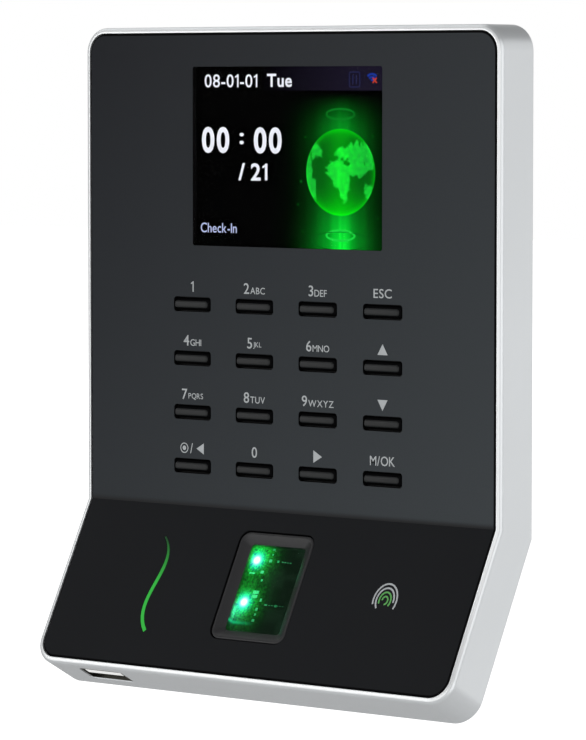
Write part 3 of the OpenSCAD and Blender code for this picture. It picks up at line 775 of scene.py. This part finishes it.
def ring_band(radius_x, radius_z, width, start=0.0, end=2 * pi, steps=28):
    """A flat elliptical band in x and z, whole or from one angle to another."""
    bm = bmesh.new()
    whole = end - start > 2 * pi - 0.01
    count = steps if whole else steps + 1
    inner, outer = [], []
    for i in range(count):
        a = start + (end - start) * i / steps
        for ring, grow in ((inner, -width / 2), (outer, width / 2)):
            ring.append(bm.verts.new(((radius_x + grow) * cos(a), 0, (radius_z + grow) * sin(a))))
    for i in range(count if whole else count - 1):
        j = (i + 1) % count
        bm.faces.new((inner[i], outer[i], outer[j], inner[j]))
    return bm


def frame_band(width, height, radius, line):
    """A flat frame with round corners."""
    bm = bmesh.new()
    sizes = ((width, height, radius), (width - 2 * line, height - 2 * line, radius - line))
    weave(bm, [[bm.verts.new((x, 0, z)) for x, z in rounded(*size)] for size in sizes])
    return bm


def back_legend(node):
    """A round mark, a stroke and an arrow to the left."""
    mark_x, stroke_x, arrow_x = -2.6 * MM, -0.2 * MM, 2.4 * MM
    stroke = [(-0.55, -1.25), (-0.3, -1.25), (0.3, 1.25), (0.05, 1.25)]
    bm = ring_band(1.15 * MM, 1.15 * MM, 0.24 * MM)
    bmesh.ops.translate(bm, verts=bm.verts, vec=(mark_x, 0, 0))
    join(bm, ring_band(0.3 * MM, 0.3 * MM, 0.5 * MM), (mark_x, 0, 0))
    join(bm, polygon([(x * MM, z * MM) for x, z in stroke]), (stroke_x, 0, 0))
    join(bm, arrow(2.7 * MM, 2.3 * MM, 1), (arrow_x, 0, 0))
    print_above(node, bm)


LETTERS = ["", "", "ABC", "DEF", "GHI", "JKL", "MNO", "PQRS", "TUV", "WXYZ"]
for number in "1234567890":
    digit_legend(number, LETTERS[int(number)])
word_legend("key_esc", "ESC", 5.4 * MM, 2.2 * MM)
word_legend("key_ok", "M/OK", 7.4 * MM, 2.3 * MM)
for key_node, quarter_turns in (("key_up", 0), ("key_down", 2), ("key_right", 3)):
    print_above(key_node, arrow(3.0 * MM, 2.6 * MM, quarter_turns))
back_legend("key_left")

SIGN_X, SIGN_S = 37.0 * MM, 19.8 * MM
SIGN_LINE = 0.42 * MM


def sign_arcs(arcs):
    """Nested arches of (radius, first angle, last angle)."""
    bm = bmesh.new()
    for radius, start, end in arcs:
        join(bm, ring_band(radius * MM, 1.25 * radius * MM, SIGN_LINE, radians(start), radians(end)))
    return bm


def make_sign():
    """A plain fingerprint sign on the lower panel."""
    place = sloping @ Matrix.Translation((SIGN_X, 0, -SIGN_S))
    outer, inner = [(3.35, -28, 196), (2.5, -8, 222)], [(1.65, -40, 205), (0.8, -90, 180)]
    print_words("sign_outer", sign_arcs(outer), place, print_ink)
    print_words("sign_inner", sign_arcs(inner), place, print_green)


make_sign()

# ---- display

PAGE_Y = 1.5 * MM
LAYER = 0.03 * MM
GLOBE_X, GLOBE_Z, GLOBE_R = 16.4 * MM, 82.2 * MM, 10.3 * MM
BAR_H = 5.5 * MM

# How far the page is shifted, so that its parts show at their places to a viewer on the right
SIGHT = Vector((0.61, -0.79, 0.07))
LOOK_X = PAGE_Y * SIGHT.x / SIGHT.y * 0.85
LOOK_Z = PAGE_Y * SIGHT.z / SIGHT.y


def screen_frame(x, z, layer=1):
    """A place on the lit page that a viewer on the right sees at x and z. Layers rise to the front."""
    return upright @ Matrix.Translation((x + LOOK_X, PAGE_Y - layer * LAYER, z + LOOK_Z))


def lit(name, bm, x, z, look, layer=2):
    thicken(bm, LAYER / 2)
    dress(make_object(name, bm, screen_frame(x, z, layer)), TERMINAL, look)


def page_look():
    """Black, with a navy bar at the top that fades in, and a beam of green light round the globe."""
    look = lit_look("screen_page", 0.3)
    page = look.local(screen_frame(0, 0, 0))
    x, z = look.math("SUBTRACT", page["X"], GLOBE_X / MM), page["Z"]
    bar = look.math("GREATER_THAN", z, (SCREEN_TOP - CREASE - BAR_H) / MM)
    fade = look.ramp(x, -24, 6)
    navy = look.mix(look.times(bar, fade), BLACK, linear("#191525"))
    high = look.ramp(z, 101, 90, smooth=True)
    low = look.ramp(z, 76, 64, smooth=True)
    beam = look.times(look.bell(x, 7.0), look.sum_of((high, 0.2), (low, 0.2)))
    glow = look.times(look.bell(x, 2.6), look.sum_of((high, 0.12), (low, 0.4)))
    stripes = look.between(look.noise(900, 1, (1, 1, 0.02)), 0.8, 1.1)
    green = look.mix(look.times(look.plus(beam, glow), stripes), BLACK, (0.004, 1.0, 0.045, 1))
    look.set(Emission_Color=look.mix(1.0, navy, green, "ADD"))
    return look


def make_page():
    low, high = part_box("lcd_panel")
    margin = Vector((0.3 * MM, 0, 0.3 * MM))
    bm = bmesh.new()
    block(bm, low + margin, high - margin)
    for v in bm.verts:
        v.co.y = FRONT + PAGE_Y + (LAYER if v.co.y > low.y + LAYER else 0)
    dress(make_object("screen_page", bm), TERMINAL, page_look())


LANDS = [
    (-0.05, 0.05, 0.34, 0.25), (0.07, -0.16, 0.25, 0.22), (0.1, -0.42, 0.16, 0.3), (0.02, 0.44, 0.24, 0.12),
    (0.42, 0.42, 0.4, 0.3), (0.55, 0.16, 0.22, 0.24), (0.3, 0.05, 0.12, 0.16), (0.8, 0.3, 0.16, 0.36),
    (-0.95, -0.1, 0.12, 0.5), (-0.8, -0.42, 0.1, 0.3), (-0.72, 0.52, 0.2, 0.2), (0.82, -0.42, 0.14, 0.16),
]


def land_at(x, z):
    """How much land the globe shows at a place on its disc."""
    most = -1.0
    for lx, lz, rx, rz in LANDS:
        most = max(most, 1 - hypot((x - lx) / rx, (z - lz) / rz))
    coast = 0.42 * noise.noise(Vector((x * 5, z * 5, 2.5))) + 0.34 * noise.noise(Vector((x * 12, z * 12, 1)))
    return most + coast + 0.16 * noise.noise(Vector((x * 24, z * 24, 5)))


def make_globe():
    """A disc whose corner colours paint a lit globe with lands and a bright rim."""
    bm = bmesh.new()
    layer = bm.verts.layers.float_color.new("tone")
    rings, around = 40, 120
    rows = []
    for i in range(1, rings + 1):
        rows.append([])
        for j in range(around):
            r, a = i / rings, 2 * pi * j / around
            x, z = r * cos(a), r * sin(a)
            v = bm.verts.new((x * GLOBE_R, 0, z * GLOBE_R))
            land = min(1, max(0, land_at(x, z) * 7))
            sea = 0.1 + 0.17 * exp(-((x / 0.35) ** 2))
            rim = 0.35 * r ** 18 + 0.4 * max(0, -z) ** 3 + 0.1 * max(0, z) ** 4
            hills = 0.2 * noise.noise(Vector((x * 9, z * 9, 8)))
            green = sea + rim + land * (0.34 + 0.2 * (1 - abs(x)) + hills)
            v[layer] = (0.001 + 0.008 * land, green, 0.004 + 0.03 * land, 1)
            rows[-1].append(v)
    middle = bm.verts.new((0, 0, 0))
    middle[layer] = rows[0][0][layer]
    for j in range(around):
        k = (j + 1) % around
        bm.faces.new((middle, rows[0][j], rows[0][k]))
        for one, two in zip(rows, rows[1:]):
            bm.faces.new((one[j], two[j], two[k], one[k]))
    look = lit_look("globe_light", 0.4)
    tone = look.node("Attribute", attribute_name="tone").outputs["Color"]
    speckle = look.between(look.noise(2600, 2), 0.9, 1.08)
    look.set(Emission_Color=look.mix(1.0, tone, speckle, "MULTIPLY"))
    lit("screen_globe", bm, GLOBE_X, GLOBE_Z, look, 1)


def make_signs():
    bm = frame_band(3.4 * MM, 3.8 * MM, 0.7 * MM, 0.28 * MM)
    for x in (-0.5, 0.5):
        join(bm, polygon([(x * MM + dx, dz) for dx, dz in rounded(0.3 * MM, 2.2 * MM, 0.1 * MM, 2)]))
    lit("screen_store", bm, 20.6 * MM, 104.2 * MM, screen_navy)
    fan = bmesh.new()
    for radius in (0.5, 1.2, 1.9):
        join(fan, ring_band(radius * MM, radius * MM, 0.5 * MM, radians(45), radians(135), 10))
    lit("screen_wireless", fan, 25.8 * MM, 103.6 * MM, screen_blue)
    cross = bmesh.new()
    for turn in (45, -45):
        bar = polygon([(x * 0.85 * MM, z * 0.16 * MM) for x, z in ((-1, -1), (1, -1), (1, 1), (-1, 1))])
        bmesh.ops.rotate(bar, verts=bar.verts, cent=(0, 0, 0), matrix=Matrix.Rotation(radians(turn), 3, "Y"))
        join(cross, bar, (0, -0.002 * MM * (turn < 0), 0))
    lit("screen_cross", cross, 26.6 * MM, 104.0 * MM, screen_red, 3)


def make_sparks():
    """A few faint dots of light beside the globe."""
    bm = bmesh.new()
    sparks = [(-10.6, 90.5, 0.22), (-11.9, 79.9, 0.3), (-12.8, 74.4, 0.24), (-11.4, 68.0, 0.2),
              (9.6, 90.8, 0.2), (11.2, 71.5, 0.18)]
    for x, z, size in sparks:
        dot = ring_band(size / 2 * MM, size / 2 * MM, size * MM, steps=10)
        join(bm, dot, (x * MM, 0, z * MM - GLOBE_Z))
    lit("screen_sparks", bm, GLOBE_X, GLOBE_Z, screen_dim_green)


make_page()
make_globe()
make_signs()
make_sparks()
lit("screen_ring_high", ring_band(4.2 * MM, 1.25 * MM, 0.4 * MM), GLOBE_X, 96 * MM, screen_dim_green)
lit("screen_ring_low", ring_band(4.2 * MM, 1.2 * MM, 0.6 * MM), GLOBE_X, 67.2 * MM, screen_green)
lit("screen_ring_wide", ring_band(8.6 * MM, 2.2 * MM, 0.25 * MM), GLOBE_X, 65.9 * MM, screen_faint_green)

# Name, words, left, right, low and high end in millimetres, and how far the letters are thickened
SCREEN_WORDS = [
    ("date", "08-01-01", -25.3, -8.9, 102.3, 105.5, 0.006),
    ("day", "Tue", -5.9, 1.7, 102.4, 105.6, 0.022),
    ("hours", "00", -26.2, -17.6, 86.4, 92.8, 0.028),
    ("colon", ":", -14.4, -13.1, 88.6, 91.4, 0.02),
    ("minutes", "00", -10.0, -1.4, 86.4, 92.8, 0.028),
    ("stroke", "/", -14.8, -12.7, 79.9, 84.1, 0.02),
    ("count", "21", -10.9, -5.8, 79.9, 84.1, 0.02),
    ("state", "Check-In", -26.6, -15.3, 67.1, 69.5, 0.006),
]
for place, words, x0, x1, z0, z1, thicker in SCREEN_WORDS:
    letters, _ = word_mesh(words, width=(x1 - x0) * MM, height=(z1 - z0) * MM, weight=thicker)
    white = screen_blue_white if place == "state" else screen_white
    lit("screen_" + place, letters, x0 * MM, z0 * MM, white)

# ---- fingerprint scanner

scanner = sloping @ Matrix.Translation((0, 0, -SCANNER_S))
# Width, height and corner radius, as for the keys
BEZEL = (22.4 * MM, 27.8 * MM, 2.6 * MM)
OPENING = (16.5 * MM, 22.4 * MM, 0.9 * MM)
RIM_DEPTH = 0.25 * MM
GLASS_DEPTH = 1.4 * MM
# Two LEDs behind the glass, in millimetres right of the scanner's middle and above it
LED_PLACES = [(-7.0, 7.9), (-6.8, -3.0)]


def grown(size, more, radius):
    """Points round a size that is grown by more on every side, with its own corner radius."""
    return rounded(size[0] + 2 * more, size[1] + 2 * more, radius)


def make_bezel():
    """A frame whose inner faces slope down to the glass."""
    rim_w, web_n, back_n = 0.7 * MM, 2.7 * MM, 4.0 * MM
    opening, flange = rounded(*OPENING), grown(BEZEL, 1.8 * MM, 2.0 * MM)
    rings = rounded_edge(*BEZEL, RIM_DEPTH, 0.25 * MM)[::-1]
    rings += [
        (grown(BEZEL, -rim_w, 2.0 * MM), RIM_DEPTH),
        (grown(BEZEL, -1.15 * rim_w, 1.9 * MM), RIM_DEPTH + 0.05 * MM),
        (grown(OPENING, 0.125 * MM, 1.0 * MM), GLASS_DEPTH - 0.04 * MM),
        (opening, GLASS_DEPTH + 0.1 * MM),
        (opening, back_n),
        (flange, back_n),
        (flange, web_n),
        (rounded(*BEZEL), web_n),
    ]
    bezel = loft("scanner_bezel", rings, scanner, loop=True, smooth=40)
    dress(bezel, TERMINAL, bezel_plastic, ["fingerprint_bezel"])


PANE = (16.4 * MM, 22.3 * MM, 0.9 * MM)
PANE_BACK = 3.9 * MM
PLATE_N = 4.0 * MM
PLATE_T = 0.05 * MM
plate_place = scanner @ Matrix.Translation((0, PLATE_N, 0))


def distance(look, at, x, z, depth=PLATE_N / MM):
    """How far right of a spot, above it and away from it a point is. Depth counts twice."""
    dx = look.math("SUBTRACT", at["X"], x)
    dz = look.math("SUBTRACT", at["Z"], z)
    flat = look.math("MULTIPLY_ADD", dx, dx, look.times(dz, dz))
    dy = look.times(look.math("SUBTRACT", at["Y"], depth), 2.0)
    return dx, dz, look.math("SQRT", look.math("MULTIPLY_ADD", dy, dy, flat))


def led_light(look, at):
    """Painted light round both LEDs: a white core, a halo, a glow with rays, and its wide remainder."""
    total = (0.0, 0.0, 0.0, 0.0)
    for led_x, led_z in LED_PLACES:
        dx, dz, away = distance(look, at, led_x, led_z)
        turn = look.times(look.math("ARCTAN2", dz, dx), 9.0)
        ray_place = look.vector(turn, look.times(away, 0.25), led_z)
        rays = look.node("TexNoise", {"Vector": ray_place, "Scale": 1.0, "Detail": 3.0})
        glow = look.times(look.fall(away, 1.4), look.between(rays.outputs["Fac"], 0.5, 1.5))
        parts = (look.bell(away, 0.76), look.bell(away, 1.55), glow, look.fall(away, 4.2))
        total = tuple(look.plus(t, part) for t, part in zip(total, parts))
    return total


def scanner_light_look():
    """The board behind the glass with the LEDs' light painted on it: bright on the LEDs' side, dark with
    faint parts on the far side.
    """
    look = Look("scanner_light", Base_Color=linear("#020703"), Roughness=0.5, Specular_IOR_Level=0.05)
    look.set(Emission_Strength=1.0)
    at = look.local(scanner)
    core, halo, glow, _ = led_light(look, at)
    crumbs = look.math("POWER", look.between(look.noise(1900, 3), 0.5, 1.42), 1.7)
    side = look.ramp(at["X"], 1.0, -4.0, smooth=True)
    # A painted glow above the upper LED, and mirrored, a painted reflection of the LEDs' light in the glass's
    # left side.
    above = look.bell(distance(look, at, -6.5, 11.0)[2], 3.2)
    mirrored = look.bell(distance(look, at, -8.2, -5.5, 3.1)[2], 2.0)
    line = look.times(look.bell(look.plus(at["Z"], 8.3), 0.4), look.ramp(at["X"], -2.0, -8.5))
    blocks = look.node("TexVoronoi", {"Vector": look.place, "Scale": 170.0},
                       distance="CHEBYCHEV", feature="F1")
    dark = look.ramp(blocks.outputs["Distance"], 0.35, 0.5, 0.55, 1.1)
    body = look.times(look.sum_of((glow, 2.8), (side, 0.02), (above, 0.22), (mirrored, 0.8)), crumbs)
    ground = look.times(dark, 0.014)
    green = look.sum_of((body, 1.0), (ground, 1.0), (line, 0.36), (halo, 0.5))
    blue = look.sum_of((green, 0.07), (ground, 0.5), (halo, 1.5), (mirrored, 0.4), (line, 0.12))
    red = look.sum_of((ground, 0.4), (core, 3.0), (mirrored, 0.05), (body, 0.02))
    look.set(Emission_Color=look.vector(red, green, blue))
    return look


def make_pane(light):
    """The scanner's glass. Its sides show the painted light that comes from the board."""
    rings = rounded_edge(*PANE, GLASS_DEPTH, 0.12 * MM) + [(rounded(*PANE), PANE_BACK)]
    pane = loft("scanner_pane", rings, scanner, smooth=50)
    dress(pane, TERMINAL, scanner_glass, ["fingerprint_glass"],
          [(light, lambda f: abs((scanner.to_3x3().inverted() @ f.normal).y) < 0.3)])


def scanner_pads():
    """Small pale parts on the lit board: a column of dots, a square pad and two dotted lines."""
    bm = bmesh.new()
    column = [(-2.8, 11.0, 0.34, 0.3), (-2.7, 9.6, 0.2, 0.2), (-2.85, 8.0, 0.42, 0.38),
              (-4.3, 5.0, 0.48, 0.36), (-3.6, 2.9, 0.24, 0.26), (-2.0, -2.1, 0.26, 0.4),
              (-2.4, -4.5, 0.34, 0.36), (-2.35, -5.9, 0.22, 0.3), (-2.4, -7.4, 0.38, 0.32)]
    square = [(-4.6, -0.3, 0.45, 0.5), (-3.7, -0.25, 0.4, 0.45), (-4.5, -1.35, 0.5, 0.42),
              (-3.7, -1.3, 0.3, 0.4)]
    bars = [(-7.2, 4.5, 0.8, 0.2), (-0.5, 8.0, 0.3, 0.28), (-0.1, -3.2, 0.4, 0.18), (2.9, -3.3, 0.36, 0.3)]
    bars += [(0.9 + 0.8 * i, 7.95 - 0.03 * i, 0.28, 0.12) for i in range(4)]
    bars += [(1.0 + 0.8 * i, -3.25, 0.24, 0.08) for i in range(6)]
    for x, z, half_x, half_z in column + square + bars:
        low = ((x - half_x) * MM, -0.03 * MM, (z - half_z) * MM)
        block(bm, low, ((x + half_x) * MM, 0.02 * MM, (z + half_z) * MM), 0.015 * MM)
    return make_object("scanner_pads", bm, plate_place)


def make_scanner_light():
    bm = bmesh.new()
    half_x, half_z = OPENING[0] / 2 + 0.2 * MM, OPENING[1] / 2 + 0.2 * MM
    block(bm, (-half_x, 0, -half_z), (half_x, PLATE_T, half_z))
    plate = make_object("scanner_light", bm, plate_place)
    light = scanner_light_look()
    dress(plate, TERMINAL, light)
    make_pane(light)
    # The pads glow with painted LED light that fades with distance.
    look = Look("scanner_pad_light", Base_Color=BLACK, Roughness=0.4)
    at = look.local(scanner)
    wide = led_light(look, at)[3]
    tone = look.between(look.noise(2200, 2), 1.0, 2.0)
    look.set(Emission_Color=(0.06, 0.95, 0.32, 1), Emission_Strength=look.times(wide, tone))
    dress(scanner_pads(), TERMINAL, look)


make_bezel()
make_scanner_light()

# ---- back

SCREW_HEAD_R = 2.2 * MM
SCREW_HEAD_T = 1.1 * MM
SCREW_R = 1.0 * MM
SCREW_LENGTH = 6 * MM
SCREW_UNDER = BODY_T - SCREW_HEAD_T - 0.2 * MM
SCREW_X = 56 * MM
SCREW_Z = (108 * MM, 45 * MM)
SCREW_S = 33 * MM


def cross_outline(half, reach):
    """The outline of a cross recess, six points for each arm."""
    middle = (half + reach) / 2
    arm = [(half, -half), (middle, -half), (reach, -half), (reach, 0), (reach, half), (middle, half)]
    turns = [(1, 0), (0, 1), (-1, 0), (0, -1)]
    return [(x * c - z * s, x * s + z * c) for c, s in turns for x, z in arm]


def disc_outline(radius):
    """As many points as cross_outline, from the same corner."""
    return [(radius * cos(radians(15 * i - 45)), radius * sin(radians(15 * i - 45))) for i in range(24)]


def screw_rings():
    top = SCREW_UNDER + SCREW_HEAD_T
    head = [(1.4, 0), (1.85, 0.07), (2.1, 0.25), (2.2, 0.5)]
    rings = [(cross_outline(0.2 * MM, 0.7 * MM), top - 0.75 * MM), (cross_outline(0.3 * MM, 1.15 * MM), top)]
    rings += [(disc_outline(r * MM), top - fall * MM) for r, fall in head]
    rings += [(disc_outline(SCREW_HEAD_R), SCREW_UNDER), (disc_outline(SCREW_R), SCREW_UNDER)]
    rings += [(disc_outline(SCREW_R), SCREW_UNDER - 0.9 * SCREW_LENGTH)]
    rings += [(disc_outline(0.6 * SCREW_R), SCREW_UNDER - SCREW_LENGTH)]
    return rings


def make_cover_screws():
    places = [upright @ Matrix.Translation((side * SCREW_X, 0, z)) for side in (1, -1) for z in SCREW_Z]
    places += [sloping @ Matrix.Translation((side * SCREW_X, 0, -SCREW_S)) for side in (1, -1)]
    bm = bmesh.new()
    for place in places:
        one = skin(screw_rings())
        bmesh.ops.transform(one, matrix=place, verts=one.verts)
        join(bm, one)
    screws = make_object("cover_screws", bm, smooth=35)
    dress(screws, TERMINAL, screw_steel, ["rear_cover_screws"])


def soft_copy(name, node, body, look, width, chosen, segments=3):
    """A copy of a CAD node with the outer edges that chosen picks rounded."""
    bm = clean_copy(node)
    soften(bm, width, lambda e: e.is_convex and chosen(e), segments)
    piece = make_object(name, bm)
    weigh_normals(piece)
    dress(piece, body, look, [node])


def back_edge(edge):
    """A long edge at the back of the rear cover or of its hump."""
    return (sharp(edge, 20) and edge.calc_length() > 4 * MM
            and all_at(edge.verts, lambda p: depth_of(p) > BODY_T - NEAR))


def mouth_edge(edge):
    """An edge round the mouth of the power socket."""
    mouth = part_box("dc_jack")[0].z + 0.01 * MM
    return sharp(edge, 60) and all_at(edge.verts, lambda p: p.z < mouth)


soft_copy("rear_shell", "rear_cover", TERMINAL, cover_plastic, 0.4 * MM, back_edge)
make_cover_screws()
soft_copy("mounting_plate", "wall_plate", WALL, zinc, 0.15 * MM, sharp, 2)
soft_copy("power_socket", "dc_jack", TERMINAL, chip, 0.25 * MM, mouth_edge, 2)

# ---- looks of the CAD nodes kept as they are

NODE_LOOKS = [
    (window_glass, "display_window"),
    (foam, "display_gasket"),
    (lcd_glass, "lcd_panel"),
    (white_plastic, "lcd_backlight board_connectors coin_cell_holder"),
    (screw_steel, "lcd_can board_screws coin_cell"),
    (amber_film, "lcd_ribbon"),
    (silicone, "keypad_mat"),
    (gold, "contact_pads dc_pin"),
    (board, "main_board fingerprint_led_board fingerprint_board io_board"),
    (chip, "processor memory_chips antenna speaker fingerprint_holder fingerprint_camera"),
    (ceramic, "board_components"),
    (shell_steel, "wifi_module"),
    (lead_black, "antenna_lead"),
    (lead_red, "speaker_lead power_lead"),
    (glow_look("led_light", "#d8ffe6", 12.0), "fingerprint_leds"),
    (white_film, "fingerprint_ribbon io_ribbon"),
    (green_lens, "indicator_light_guide"),
    (glow_look("indicator_led", "#9effb0"), "indicator_leds"),
    (dark_nickel, "usb_shell"),
    (tongue_glow_white, "usb_tongue"),
]
for cad_look, cad_nodes in NODE_LOOKS:
    for cad_node in cad_nodes.split():
        nodes[cad_node].data.materials.clear()
        nodes[cad_node].data.materials.append(cad_look.material)

# ---- camera, light and floor

# The photograph's camera: its place in metres, its tilt and turn in degrees, its lens in millimetres
CAMERA_PLACE = (0.63487, -0.81454, 0.06874)
CAMERA_DOWN, CAMERA_TURN = 3.82, 38.33
FOCAL_LENGTH, SENSOR_WIDTH = 207.56, 36


def make_camera():
    data = bpy.data.cameras.new("camera")
    data.sensor_width = SENSOR_WIDTH
    data.lens = FOCAL_LENGTH
    data.clip_end = 50
    camera = put("camera", data)
    camera.location = CAMERA_PLACE
    camera.rotation_euler = (radians(90 - CAMERA_DOWN), 0, radians(CAMERA_TURN))
    bpy.context.scene.camera = camera


def softbox(name, azimuth, elevation, distance, size, watts):
    """A square light aimed at the object. Azimuth 0 is in front of it, 90 on its right."""
    a, e = radians(azimuth), radians(elevation)
    data = bpy.data.lights.new(name, "AREA")
    data.size = size
    data.energy = watts
    light = put(name, data)
    away = Vector((sin(a) * cos(e), -cos(a) * cos(e), sin(e)))
    light.location = away * distance
    light.rotation_euler = away.to_track_quat("Z", "Y").to_euler()


FLOOR_HALF, FLOOR_Z = 12.0, -0.5
AMBIENT, AMBIENT_IN_GLOSS, SEEN_WHITE = 0.5, 0.1, 1.0


def make_stage():
    """A pale floor well below the terminal, which hangs on a wall, and an even white surround."""
    bm = bmesh.new()
    corners = ((-1, -1), (1, -1), (1, 1), (-1, 1))
    bm.faces.new([bm.verts.new((x * FLOOR_HALF, y * FLOOR_HALF, FLOOR_Z)) for x, y in corners])
    floor = make_object("floor", bm)
    look = surface("floor_paint", "#c9c9c9", 0.85, vary=0.01, cloud=2, grain=60, height=0.02)
    seen = look.node("LightPath").outputs["Is Camera Ray"]
    look.set(Emission_Color=(1, 1, 1, 1), Emission_Strength=look.times(seen, SEEN_WHITE))
    floor.data.materials.append(look.material)
    world = bpy.data.worlds.new("surround")
    world.use_nodes = True
    tree = world.node_tree
    path, strength = tree.nodes.new("ShaderNodeLightPath"), tree.nodes["Background"].inputs["Strength"]
    for rays, value in (("Is Camera Ray", SEEN_WHITE), ("Is Glossy Ray", AMBIENT_IN_GLOSS)):
        mix = tree.nodes.new("ShaderNodeMix")
        tree.links.new(path.outputs[rays], mix.inputs[0])
        tree.links.new(mix.outputs[0], strength)
        mix.inputs[3].default_value = value
        strength = mix.inputs[2]
    strength.default_value = AMBIENT
    tree.nodes["Background"].inputs["Color"].default_value = (1, 1, 1, 1)
    bpy.context.scene.world = world
    bpy.context.scene.view_settings.view_transform = "Standard"


make_camera()
make_stage()
softbox("key_light", 73, 8, 1.3, 1.3, 7.4)
softbox("left_light", -40, -2, 1.4, 0.9, 2.7)
softbox("front_light", 10, -2, 1.4, 1.1, 3.6)
softbox("back_light", 139, 3, 1.3, 1.3, 3.6)
softbox("top_light", -128, 32, 1.3, 1.2, 1.2)
softbox("lip_light", -95, 52, 1.3, 0.9, 2.8)
softbox("edge_light", -37, 15, 1.4, 0.5, 1.7)
